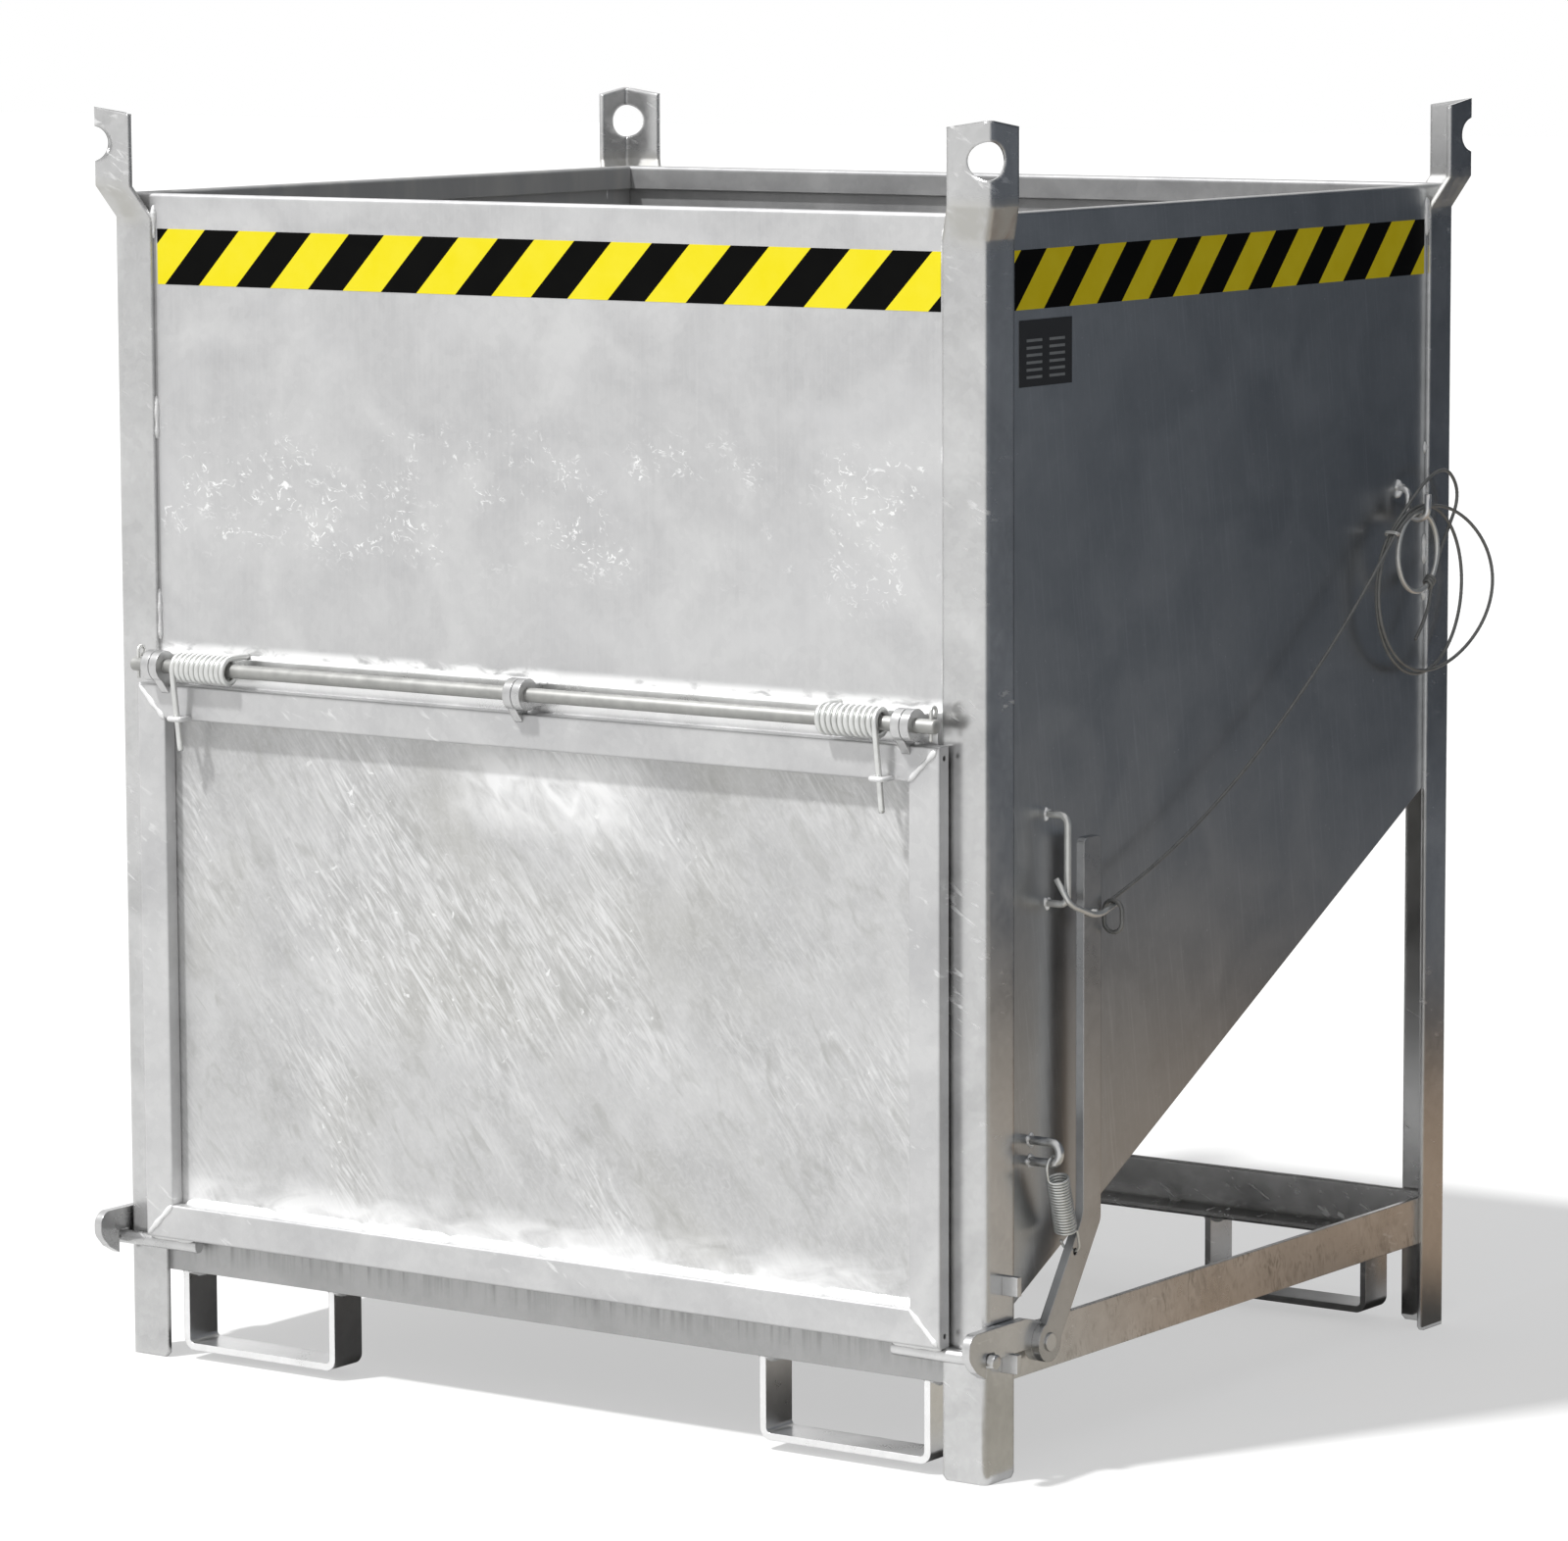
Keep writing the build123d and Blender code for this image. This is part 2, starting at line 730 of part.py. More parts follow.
def latch_hook():
    """The right latch hook."""
    return across(hook_outline() - shaft_hole(), hook_inner, hook_outer)


def stop(height):
    """A flat lug on the right front post that limits the hook's travel."""
    rear = shaft_y - stop_setback + stop_thickness / 2
    side = rectangle((rear - stop_thickness, height), (rear, height + stop_length))
    return across(side, half_width, half_width + stop_reach)


def lever_hole():
    """The middle of the spring's hole in the lever, near its front edge."""
    slant = math.hypot(lever_bend_forward, lever_bend_rise)
    ahead = (lever_width / 2 - lever_hole_inset) / slant
    y = shaft_y + lever_bend_forward * lever_hole_rise - lever_bend_rise * ahead
    z = shaft_height + lever_bend_rise * lever_hole_rise + lever_bend_forward * ahead
    return y, z


def release_lever():
    """The hand lever: a flat bar, slanted off the shaft and then upright."""
    half = lever_width / 2
    slant = math.atan2(lever_bend_forward, lever_bend_rise)
    across_y = half * math.cos(slant)
    across_z = half * math.sin(slant)
    bend_z = shaft_height + lever_bend_rise
    mitre = half * math.tan(slant / 2)
    face = outline(
        (shaft_y - across_y, shaft_height + across_z),
        (lever_y - half, bend_z + mitre),
        (lever_y - half, lever_top),
        (lever_y + half, lever_top),
        (lever_y + half, bend_z - mitre),
        (shaft_y + across_y, shaft_height - across_z),
    )
    for y in (lever_y - half, lever_y + half):
        face = rounded(face, (y, lever_top), lever_corner)
    face = rounded(face, (lever_y - half, bend_z + mitre), 2 * half)
    face = rounded(face, (lever_y + half, bend_z - mitre), half)
    face += Pos(shaft_y, shaft_height) * Circle(hook_boss_radius)
    face -= shaft_hole()
    face -= Pos(*lever_hole()) * Circle(lever_spring_hole / 2)
    face -= Pos(lever_y, lock_pivot_height) * Circle(lock_pivot / 2 + running_clearance)
    return across(face, hook_outer, lever_outer)


def staple(y, low, high, reach, bend, bar):
    """A round bar bent to a U, its ends welded to the right side panel."""
    root = post_inner_x
    outer = root + reach
    path = FilletPolyline((root, y, high), (outer, y, high), (outer, y, low), (root, y, low), radius=bend)
    return tube_on(path, bar, bar_sides)


def tension_path():
    """The lever's spring: hook through the lever, close coil, hook over the staple."""
    hole_y, hole_z = lever_hole()
    lower = Vector(hook_outer + lever_plate / 2, hole_y, hole_z)
    upper = Vector(post_inner_x + tension_hook_reach, staple_y, staple_low)
    radius = tension_mean_radius
    bend = tension_bend
    axis = (upper - lower).normalized()
    for _ in range(12):
        side = (Vector(1, 0, 0) - axis * axis.X).normalized()
        back = axis.cross(side)
        axis = (upper - lower + side * bend + back * bend).normalized()
    foot = lower - back * bend

    def place(up, out, behind):
        return foot + axis * up + side * out + back * behind

    seat = radius - tension_wire / 2 - staple_bar / 2 - tension_hook_slack
    top = (upper - foot).dot(axis) - seat
    coil_low = radius + tension_lower_riser + bend
    coil_high = top - bend - tension_upper_riser
    turns = math.floor((coil_high - coil_low) / tension_pitch)
    total = 2 * math.pi * turns + math.pi / 2
    halves = math.ceil(total / math.pi)
    rise = (coil_high - coil_low) / total
    knots = []
    for i in range(halves + 1):
        turn = total * i / halves
        spot = place(coil_low + rise * turn, radius * math.cos(turn), -radius * math.sin(turn))
        heading = side * -math.sin(turn) - back * math.cos(turn)
        drift = 0 if i in (0, halves) else rise / radius
        knots.append((spot, heading + axis * drift))
    inner = place(radius, -radius, bend)
    outer = place(radius, radius, bend)
    riser = place(coil_low - bend, radius, bend)
    lower_hook = [
        Edge.make_line(inner + axis * tension_wire, inner),
        Edge.make_three_point_arc(inner, place(0, 0, bend), outer),
        Edge.make_line(outer, riser),
        Edge.make_tangent_arc(riser, axis, knots[0][0]),
    ]
    rim = place(top, -bend, -radius)
    far = place(top, -bend, radius)
    upper_hook = [
        Edge.make_tangent_arc(knots[-1][0], knots[-1][1], rim - axis * tension_upper_riser),
        Edge.make_line(rim - axis * tension_upper_riser, rim),
        Edge.make_three_point_arc(rim, place(top + radius, -bend, 0), far),
        Edge.make_line(far, far - axis * tension_wire),
    ]
    return Wire(lower_hook + through(knots) + upper_hook)


def lock_hook():
    """The lock hook: a bent rod on a pivot through the lever, hooked round the keeper."""
    pivot = Vector(lock_x, lever_y, lock_pivot_height)
    rear = pivot + Vector(0, lock_rear_reach, lock_rear_rise)
    bottom = pivot - Vector(0, 0, lock_rod_drop)
    front = pivot + Vector(0, -lock_front_reach, lock_front_rise)
    tip = front + Vector(-lock_tip_inward, -lock_tip_forward, lock_tip_rise - lock_front_rise)
    path = FilletPolyline(rear, bottom, front, tip, radius=[lock_rod_bend, lock_tip_bend])
    rod = tube_on(path, lock_rod, bar_sides)
    inner = hook_outer - lock_head_gap - lock_head_thickness
    pin = round_bar((inner, lever_y, lock_pivot_height), (lock_x, lever_y, lock_pivot_height), lock_pivot)
    head = round_bar(
        (inner, lever_y, lock_pivot_height),
        (inner + lock_head_thickness, lever_y, lock_pivot_height),
        2 * lock_head_radius,
    )
    return rod + pin + head


def link_place():
    """The middle of the link that hangs on the rear end of the lock hook."""
    reach = lever_width / 2 + link_behind_lever
    rod_height = lock_pivot_height - lock_rod_drop + (lock_rear_rise + lock_rod_drop) * reach / lock_rear_reach
    top = rod_height + lock_rod / 2 + contact_gap + link_wire / 2
    return Vector(lock_x, lever_y + reach, top - link_half_height)


def rope_link():
    """An oval link in the front view, between the lock hook and the rope."""
    middle = link_place()
    straight = 2 * (link_half_height - link_half_width)
    loop = SlotCenterToCenter(straight, 2 * link_half_width, rotation=90)
    plane = Plane(origin=middle, x_dir=(1, 0, 0), z_dir=(0, -1, 0))
    return tube_on((plane * loop).wire(), link_wire, wire_sides)


def ring_hook():
    """A J of round bar on the right panel that the ring and the rope's loops hang on."""
    root = post_inner_x
    inner = root + ring_hook_standoff
    outer = inner + 2 * ring_hook_radius
    y = ring_hook_place
    centre = ring_hook_low + ring_hook_radius
    bow_start = (inner, y, centre)
    bow_low = (inner + ring_hook_radius, y, ring_hook_low)
    bow_end = (outer, y, centre)
    corner = (inner, y, ring_hook_root)
    stem = FilletPolyline((root, y, ring_hook_root), corner, bow_start, radius=ring_hook_bend)
    bow = Edge.make_three_point_arc(bow_start, bow_low, bow_end)
    tip = Edge.make_line(bow_end, (outer, y, ring_hook_tip))
    return tube_on(Wire(stem.edges() + [bow, tip]), ring_hook_bar, bar_sides)


def pull_ring():
    """The ring at the rope's end, hung on its hook."""
    x = post_inner_x + ring_hook_standoff + ring_hook_radius
    seat = ring_hook_low + ring_hook_bar / 2 + ring_wire / 2 + contact_gap
    section = Pos(ring_mean_radius, 0) * RegularPolygon(ring_wire / 2, bar_sides)
    ring = revolve(Plane.XZ * section, Axis.Z)
    return Plane(origin=(x, ring_hook_place, seat - ring_mean_radius), z_dir=(1, 0, 0)) * ring


# The rope's free stretch, from the link up to the tie, sags under its own weight
rope_route = [
    (621.5, -289.0, 609.9),
    (622.4, -244.0, 623.2),
    (623.2, -197.0, 639.1),
    (623.8, -149.0, 657.5),
    (624.0, -100.0, 678.6),
    (624.0, -51.0, 702.0),
    (624.0, -3.0, 727.1),
    (623.8, 44.0, 753.8),
    (623.6, 90.0, 782.0),
    (623.4, 135.0, 811.5),
    (623.2, 178.0, 841.5),
    (623.0, 219.0, 871.7),
    (622.7, 258.0, 902.0),
    (622.3, 295.0, 932.0),
    (622.0, 330.0, 961.6),
]

# Half width, half height and outward fan of each loose loop, then the way round to the rope's tail
rope_loops = [(112.0, 98.0, 42.0), (100.0, 100.0, 0.0)]
rope_tail = [
    (618.0, 440.0, 1041.0),
    (616.0, 496.0, 1000.0),
    (609.0, 468.0, 945.0),
    (612.5, 432.0, 903.0),
    (614.0, 423.0, 862.0),
    (614.0, 392.0, 833.0),
]


def rope_stretch():
    """The free stretch: straight runs joined by tangent arcs."""
    points = [Vector(*p) for p in rope_route]
    radii = []
    for before, here, after in zip(points, points[1:], points[2:]):
        shorter = min((here - before).length, (after - here).length)
        half_turn = math.radians((here - before).get_angle(after - here)) / 2
        radii.append(rope_arc_share * shorter / math.tan(half_turn))
    path = FilletPolyline(*points, radius=radii)
    tube = tube_on(path, rope, rope_sides)
    print("rope stretch: length", round(path.length), "least arc radius", round(min(radii)))
    return tube


def loop_place(loop, turn):
    """A place on a loose loop, a clockwise turn from the tie in the side view."""
    half_across, half_up, fan = rope_loops[loop]
    tie = Vector(*rope_route[-1])
    from_tie = math.radians(135)
    out = half_across * (math.cos(from_tie - turn) - math.cos(from_tie))
    up = half_up * (math.sin(from_tie - turn) - math.sin(from_tie))
    layer = strand_step * (loop + turn / (2 * math.pi))
    spread = fan * (out / (2 * half_across)) ** 3
    return tie + Vector(spread - layer, out, up)


def rope_coil_path():
    """The loose loops from the tie, two whole turns and the last part round to the tail."""
    tie = Vector(*rope_route[-1])
    arriving = (tie - Vector(*rope_route[-2])).normalized()
    start = tie + arriving * rope
    knots = [(start, arriving)]
    small = 0.01
    for loop in range(len(rope_loops)):
        for quarter in range(1, 5):
            turn = quarter * math.pi / 2
            heading = loop_place(loop, turn) - loop_place(loop, turn - small)
            knots.append((loop_place(loop, turn), heading))
    tail = [Vector(*p) for p in rope_tail]
    for before, here, after in zip([knots[-1][0]] + tail, tail, tail[1:]):
        knots.append((here, after - before))
    ending = (tail[-1] - tail[-2] + Vector(0, -rope, 0)).normalized()
    knots.append((tail[-1], ending))
    first = Edge.make_line(tie, start)
    last = Edge.make_line(tail[-1], tail[-1] + ending * rope)
    return Wire([first] + through(knots) + [last])


def rope_tie():
    """A thin wire round the three strands where the loops are gathered."""
    tie = Vector(*rope_route[-1])
    middle = tie - Vector(strand_step, 0, 0)
    strands = len(rope_loops) * strand_step
    loop = SlotCenterToCenter(strands, rope + tie_wire + 4 * contact_gap)
    plane = Plane(origin=middle, x_dir=(1, 0, 0), z_dir=(0, 1, 1))
    return tube_on((plane * loop).wire(), tie_wire, spring_sides)


rear_right = post()
rear_left = mirror(rear_right, about=Plane.YZ)
save("post_rear_right", rear_right)
save("post_rear_left", rear_left)
save("post_front_right", mirror(rear_right, about=Plane.XZ))
save("post_front_left", mirror(rear_left, about=Plane.XZ))
save("front_panel", front_panel())
save("rear_panel", rear_panel())
for name, piece in zip(("right_panel", "left_panel"), both_sides(right_panel())):
    save(name, piece)
save("chute_floor", chute_floor())
save("front_sill", front_sill())
save("rear_crossbar", rear_crossbar())
for name, piece in zip(("right_side_bar", "left_side_bar"), both_sides(right_side_bar())):
    save(name, piece)
for end, y_from in (("front", front_y), ("rear", post_inner_y - bar_depth)):
    save(f"fork_loop_{end}_right", fork_loop(fork_loop_centre, y_from))
    save(f"fork_loop_{end}_left", fork_loop(-fork_loop_centre, y_from))

save("hinge_bar", hinge_bar())
save("body_hinge_eyes", *[body_eye(x) for x in eye_places(flap_side=False)])
save("hinge_rod", hinge_rod())
save("rod_split_pins", *both_sides(split_pin()))

save("flap_top_tube", flap_cross_tube(flap_top, -1))
save("flap_bottom_tube", flap_cross_tube(flap_bottom, 1))
for name, piece in zip(("flap_right_tube", "flap_left_tube"), both_sides(flap_right_tube())):
    save(name, piece)
save("flap_sheet", flap_sheet())
save("flap_hinge_eyes", *[flap_eye(x) for x in eye_places(flap_side=True)])
save("latch_pins", *both_sides(latch_pin()))
save("spring_rests", *both_sides(spring_rest()))

torsion = torsion_path()
save("torsion_springs", *both_sides(tube_on(torsion, torsion_wire, wire_sides)))

shaft_left = (-hook_outer - shaft_proud, shaft_y, shaft_height)
shaft_right = (lever_outer + shaft_proud, shaft_y, shaft_height)
save("release_shaft", round_bar(shaft_left, shaft_right, shaft_diameter))
for name, piece in zip(("latch_hook_right", "latch_hook_left"), both_sides(latch_hook())):
    save(name, piece)
save("lower_hook_stops", *both_sides(stop(hook_under - stop_length - contact_gap)))
save("upper_hook_stops", *both_sides(stop(hook_top + hook_lift)))
save("release_lever", release_lever())
staple_high = staple_low + staple_spread
save("spring_staple", staple(staple_y, staple_low, staple_high, staple_reach, staple_bend, staple_bar))
save("keeper_staple", staple(keeper_y, keeper_low, keeper_high, keeper_reach, keeper_bend, keeper_bar))
tension = tension_path()
save("tension_spring", tube_on(tension, tension_wire, spring_sides))
save("lock_hook", lock_hook())
save("rope_link", rope_link())

save("ring_hook", ring_hook())
save("pull_ring", pull_ring())
save("rope_stretch", rope_stretch())
coil = rope_coil_path()
save("rope_loops", tube_on(coil, rope, rope_sides))
save("rope_tie", rope_tie())

print("torsion spring: least gap to itself", round(least_gap(torsion, torsion_wire, 400), 2))
print("tension spring: least gap to itself", round(least_gap(tension, tension_wire, 900), 2))
print("rope loops: length", round(coil.length), "least gap to itself", round(least_gap(coil, rope, 600), 2))
print(len(nodes), "nodes")
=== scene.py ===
"""Cement silo container: the looks of a galvanised steel hopper with a sprung discharge flap.

Shapes are worked out in millimetres in the frame of the solids and put into meshes in metres.
"""

import itertools
import json
import math

import bpy
import numpy as np
from mathutils import Matrix


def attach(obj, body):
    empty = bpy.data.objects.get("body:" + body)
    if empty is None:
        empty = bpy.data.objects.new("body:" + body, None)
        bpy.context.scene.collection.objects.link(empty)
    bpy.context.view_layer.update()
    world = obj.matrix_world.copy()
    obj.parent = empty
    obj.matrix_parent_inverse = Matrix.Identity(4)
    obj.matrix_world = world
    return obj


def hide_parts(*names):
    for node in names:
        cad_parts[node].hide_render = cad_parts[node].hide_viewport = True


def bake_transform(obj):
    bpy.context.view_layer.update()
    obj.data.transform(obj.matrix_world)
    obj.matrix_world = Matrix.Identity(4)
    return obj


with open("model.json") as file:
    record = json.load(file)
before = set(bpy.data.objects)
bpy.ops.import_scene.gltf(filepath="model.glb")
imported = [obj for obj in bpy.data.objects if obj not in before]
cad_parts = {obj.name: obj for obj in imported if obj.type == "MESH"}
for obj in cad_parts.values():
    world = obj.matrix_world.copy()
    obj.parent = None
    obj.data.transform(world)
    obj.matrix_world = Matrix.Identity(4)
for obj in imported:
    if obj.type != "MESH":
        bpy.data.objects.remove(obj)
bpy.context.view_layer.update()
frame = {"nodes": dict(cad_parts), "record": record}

MM = 0.001

# Faces that new pieces lie on
panel_x = 594.0
panel_y = -494.0
post_edge_x = 545.0
post_edge_y = 445.0
sill_bottom = 105.0
sill_depth = 50.0
flap_face = -523.0
flap_back = -503.0
flap_half_width = 556.0
flap_top = 798.0
flap_bottom = 148.0
tube_face = 40.0
hinge_bar_top = 830.8
hinge_bar_face = -502.0
body_eyes = (-525.75, 9.25, 525.75)
fork_centre = 412.0
fork_half = 112.5
fork_bar = 8.0

# Hazard tape and plate
tape_low = 1256.0
tape_high = 1319.5
tape_thickness = 0.4
tape_front_half = 539.5
tape_side_half = 440.0
tape_pitch = 105.2
tape_yellow_share = 0.52
tape_slope = 0.95
tape_front_start = -523.0 - tape_slope * tape_high
tape_side_start = -373.1 - tape_slope * tape_high
plate_low = (-426.0, 1174.0)
plate_size = (102.0, 71.0)
plate_thickness = 1.0
field_rows = 6
field_columns = ((0.12, 0.42), (0.56, 0.86))
field_first_row = 0.12
field_row_step = 0.11
field_height = 3.0
field_thickness = 0.15

# Hinge and torsion springs
hinge_y = -528.0
hinge_z = 820.0
rod_half = 558.0
rod_radius = 8.0
rod_nose = 4.0
torsion_wire = 7.0
torsion_radius = 14.5
torsion_turns = 10
torsion_pitch = 7.38
torsion_inner_end = 411.0
torsion_leg_tilt = 8.0
torsion_flap_leg = 95.0
torsion_body_leg = 31.0
spring_leg_x = 487.03
spring_rest_bar = 6.0
spring_rest_bend = 5.0
spring_rest_span = 17.0
spring_rest_front = -541.1
spring_rest_z = 761.0
split_pin_wire = 4.0
split_pin_x = 549.0
split_pin_tail = 16.0
split_pin_rise = 15.5
split_eye_radius = 5.0
split_eye_turn = 270.0

# Latch pins, release lever, staples and tension spring
latch_y = -509.0
latch_z = 140.0
latch_pin_radius = 8.0
latch_pin_ends = (487.0, 621.0)
latch_pin_nose = 1.5
shaft_y = -407.0
shaft_z = 144.0
hook_outer = 612.0
lever_outer = 622.0
lever_y = -323.0
lever_bend_rise = 124.0
lever_width = 35.0
lever_hole_inset = 8.0
lever_hole_rise = 0.69
tension_wire = 3.0
tension_radius = 11.5
tension_turns = 18
tension_bend = 4.0
tension_lower_riser = 15.0
tension_upper_riser = 10.0
tension_hook_reach = 28.0
tension_hook_slack = 1.0
tension_hook_steps = 14
spring_staple = dict(y=-404.0, low=339.0, high=362.0, reach=38.0, bend=11.0, bar=10.0)
keeper_staple = dict(y=-371.0, low=616.0, high=713.0, reach=26.5, bend=10.0, bar=8.0)

# Lock hook and link
lock_x = 628.5
lock_z = 602.0
lock_rod = 6.5
lock_pivot = 8.0
lock_rear = (0.0, 37.0, 6.0)
lock_drop = (0.0, 0.0, -4.0)
lock_front = (0.0, -55.0, 15.0)
lock_tip = (-12.5, -64.0, 44.0)
lock_bends = (50.0, 18.0)
lock_head_radius = 7.0
lock_head_thickness = 3.0
lock_head_gap = 0.5
link_wire = 5.0
link_half_width = 11.5
link_straight = 12.0
link_middle = (628.5, -292.0, 594.4)

# Ring hook, ring and rope
ring_hook_y = 385.0
ring_hook_root = 1009.0
ring_hook_low = 975.0
ring_hook_tip = 1004.0
ring_hook_radius = 13.0
ring_hook_bend = 8.0
ring_hook_bar = 8.0
ring_x = 620.0
ring_z = 936.2
ring_radius = 46.0
ring_wire = 6.0
rope = 4.0
rope_lay = 26.0
rope_step = 2.4
rope_end_length = 90.0
tie_wire = 2.0
tie_gap = 0.3
tie_angle = 135.0
strand_step = 5.0
knot_angle = -52.0
knot_gap = 0.4

# The rope's free stretch, from the link on the lock hook up to the tie
rope_route = [
    (621.5, -289.0, 609.9), (622.4, -244.0, 623.2), (623.2, -197.0, 639.1), (623.8, -149.0, 657.5),
    (624.0, -100.0, 678.6), (624.0, -51.0, 702.0), (624.0, -3.0, 727.1), (623.8, 44.0, 753.8),
    (623.6, 90.0, 782.0), (623.4, 135.0, 811.5), (623.2, 178.0, 841.5), (623.0, 219.0, 871.7),
    (622.7, 258.0, 902.0), (622.3, 295.0, 932.0), (622.0, 330.0, 961.6),
]

# Half width, half height and outward fan of each loose loop, then the way round to the rope's tail
rope_loops = [(112.0, 98.0, 42.0), (100.0, 100.0, 0.0)]
rope_tail = [
    (618.0, 440.0, 1041.0), (616.0, 496.0, 1000.0), (609.0, 468.0, 945.0),
    (612.5, 432.0, 903.0), (614.0, 423.0, 862.0), (614.0, 392.0, 833.0),
]

# Welds: width and height of each kind of bead, and the low and high ends of the runs down the panels' edges
weld_ripple = 4.0
seam_weld = (8, 4)
hinge_weld = (7, 3.6)
hinge_weld_starts = range(-540, 540, 180)
hinge_weld_run = 172
eye_weld = (15, 6)
eye_weld_half = 13
fork_weld = (16, 7)
staple_weld = 2.6
ring_hook_weld = 5.0
ring_hook_weld_seed = 3.0
mitre_weld = (6, 2.2)
mitre_inset = 3
pin_weld = (7, 3)
pin_weld_ends = (490, 554)
pin_weld_ahead = 7
pin_weld_below = 0.5
sheet_weld = (18, 6)
sheet_weld_starts = range(-512, 512, 128)
sheet_weld_run = 140
sheet_weld_unrest = 0.05
front_left_seams = ((846, 905), (1078, 1128), (1308, 1346))
front_right_seams = ((846, 900), (1088, 1120), (1300, 1346))
side_rear_seams = ((873, 890), (916, 952), (985, 1010), (1046, 1060), (1300, 1345))
side_front_seams = ((210, 250), (480, 520), (800, 850), (1300, 1345))

# Floor, cards that the metal mirrors, sun and camera, in metres; the sun's width is in degrees and the
# camera's angles are in radians
floor_half = 40
wall_foot = [(0.6, 2.4), (1.4, 2.4), (2.8, 2.4), (3.6, 2.0), (4.0, 1.2), (4.0, -0.4), (4.0, -2.0)]
wall_centre = (0.6, 0.0)
wall_height = 5.0
ground_inner_share = 0.03
ground_card_height = 0.004
near_card = dict(x=(0.61, 1.4), y=(-0.8, -0.02), z=0.005)
shade_card = dict(x=(-0.58, 0.56), y=(-0.48, 0.62), z=0.006)
rear_card = [(-1.6, 2.4, 0.0), (-0.6, 2.4, 0.0), (-0.6, 2.4, 1.2), (-1.6, 2.4, 1.2)]
towards_sun = (-0.236, -0.472, 0.85)
sun_strength = 3.8
sun_width = 4
sky_light = 0.36
camera_place = (4.34826, -6.22116, 1.65334)
camera_around = 0.6112
camera_above = 0.1278
camera_roll = -0.0040
camera_lens = 149.69


# Meshes


def grid_faces(rows, columns, wrap_rows=False):
    """The four-sided faces of a grid of points whose columns go round and close."""
    row = np.arange(rows if wrap_rows else rows - 1)[:, None]
    column = np.arange(columns)[None, :]
    here = row * columns
    there = (row + 1) % rows * columns
    beside = (column + 1) % columns
    corners = [here + column, here + beside, there + beside, there + column]
    return np.stack(corners, axis=-1).reshape(-1, 4).tolist()


def capped_faces(rows, columns):
    """The faces of a grid whose columns close, and one face over each end."""
    first = list(range(columns))
    last = [(rows - 1) * columns + i for i in first]
    return grid_faces(rows, columns) + [first[::-1], last]


def new_object(name, points, faces, material):
    """An object at the origin with its place in its mesh; points are in metres."""
    mesh = bpy.data.meshes.new(name)
    mesh.from_pydata(np.asarray(points, float).tolist(), [], faces)
    mesh.materials.append(material)
    piece = bpy.data.objects.new(name, mesh)
    bpy.context.scene.collection.objects.link(piece)
    return piece


def make_piece(name, points, faces, material, slot, body=None, smooth=True):
    """A piece of the object, on a body if one is given; points in millimetres. The slot is not used."""
    piece = new_object(name, np.asarray(points, float) * MM, faces, material)
    polygons = piece.data.polygons
    polygons.foreach_set("use_smooth", np.full(len(polygons), smooth))
    piece.data.update()
    if body:
        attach(piece, body)
    return piece


def unit(vectors):
    """Vectors scaled to a length of one."""
    vectors = np.asarray(vectors, float)
    return vectors / np.linalg.norm(vectors, axis=-1, keepdims=True)


def carried_frames(line, closed):
    """Two directions square to a line at each point, each the one before it turned as little as the line."""
    if closed:
        heading = unit(np.roll(line, -1, axis=0) - np.roll(line, 1, axis=0))
    else:
        heading = unit(np.gradient(line, axis=0))
    start = np.eye(3)[np.argmin(np.abs(heading[0]))]
    side = unit(start - heading[0] * (start @ heading[0]))
    sides = [side]
    for ahead in heading[1:]:
        side = unit(side - ahead * (side @ ahead))
        sides.append(side)
    sides = np.array(sides)
    return sides, np.cross(heading, sides)


def tube(line, radius, sides=14, closed=False):
    """Points and faces of a round bar: p + r(cos t * side + sin t * up) along the line p, its ends closed.
    The radius is one number, or one for each point and angle."""
    line = np.asarray(line, float)
    side, up = carried_frames(line, closed)
    turn = np.arange(sides) * 2 * math.pi / sides
    ring = np.cos(turn)[:, None] * side[:, None, :] + np.sin(turn)[:, None] * up[:, None, :]
    reach = np.broadcast_to(radius, ring.shape[:2])[:, :, None]
    points = (line[:, None, :] + reach * ring).reshape(-1, 3)
    if closed:
        return points, grid_faces(len(line), sides, wrap_rows=True)
    return points, capped_faces(len(line), sides)


def join(*shapes):
    """Several shapes' points and faces as one."""
    points = []
    faces = []
    for shape_points, shape_faces in shapes:
        shift = sum(len(p) for p in points)
        points.append(np.asarray(shape_points, float))
        faces += [[i + shift for i in face] for face in shape_faces]
    return np.vstack(points), faces


def mirrored(shape):
    """A shape on the other side of the middle plane, its faces turned back outward."""
    points, faces = shape
    return np.asarray(points) * (-1, 1, 1), [list(face)[::-1] for face in faces]


def both_sides(shape):
    """A shape and its mirror image."""
    return join(shape, mirrored(shape))


def arc(centre, start, normal, degrees, steps=12):
    """Points round a centre from a start: c + v cos t + (n x v) sin t, with v from the centre to the start."""
    centre = np.asarray(centre, float)
    arm = np.asarray(start, float) - centre
    turn = np.radians(np.linspace(0, degrees, steps))[:, None]
    return centre + arm * np.cos(turn) + np.cross(normal, arm) * np.sin(turn)


def bent_bar(corners, radii, steps=10):
    """The middle line of a bar bent at its corners: an arc of each radius that touches both legs."""
    corners = [np.asarray(c, float) for c in corners]
    line = [corners[0]]
    for before, here, after, radius in zip(corners, corners[1:], corners[2:], radii):
        back = unit(before - here)
        ahead = unit(after - here)
        half = math.acos(np.clip(back @ ahead, -1, 1)) / 2
        centre = here + unit(back + ahead) * radius / math.sin(half)
        start = here + back * radius / math.tan(half)
        normal = unit(np.cross(ahead, back))
        line += list(arc(centre, start, normal, math.degrees(math.pi - 2 * half), steps))
    line.append(corners[-1])
    return np.array(line)


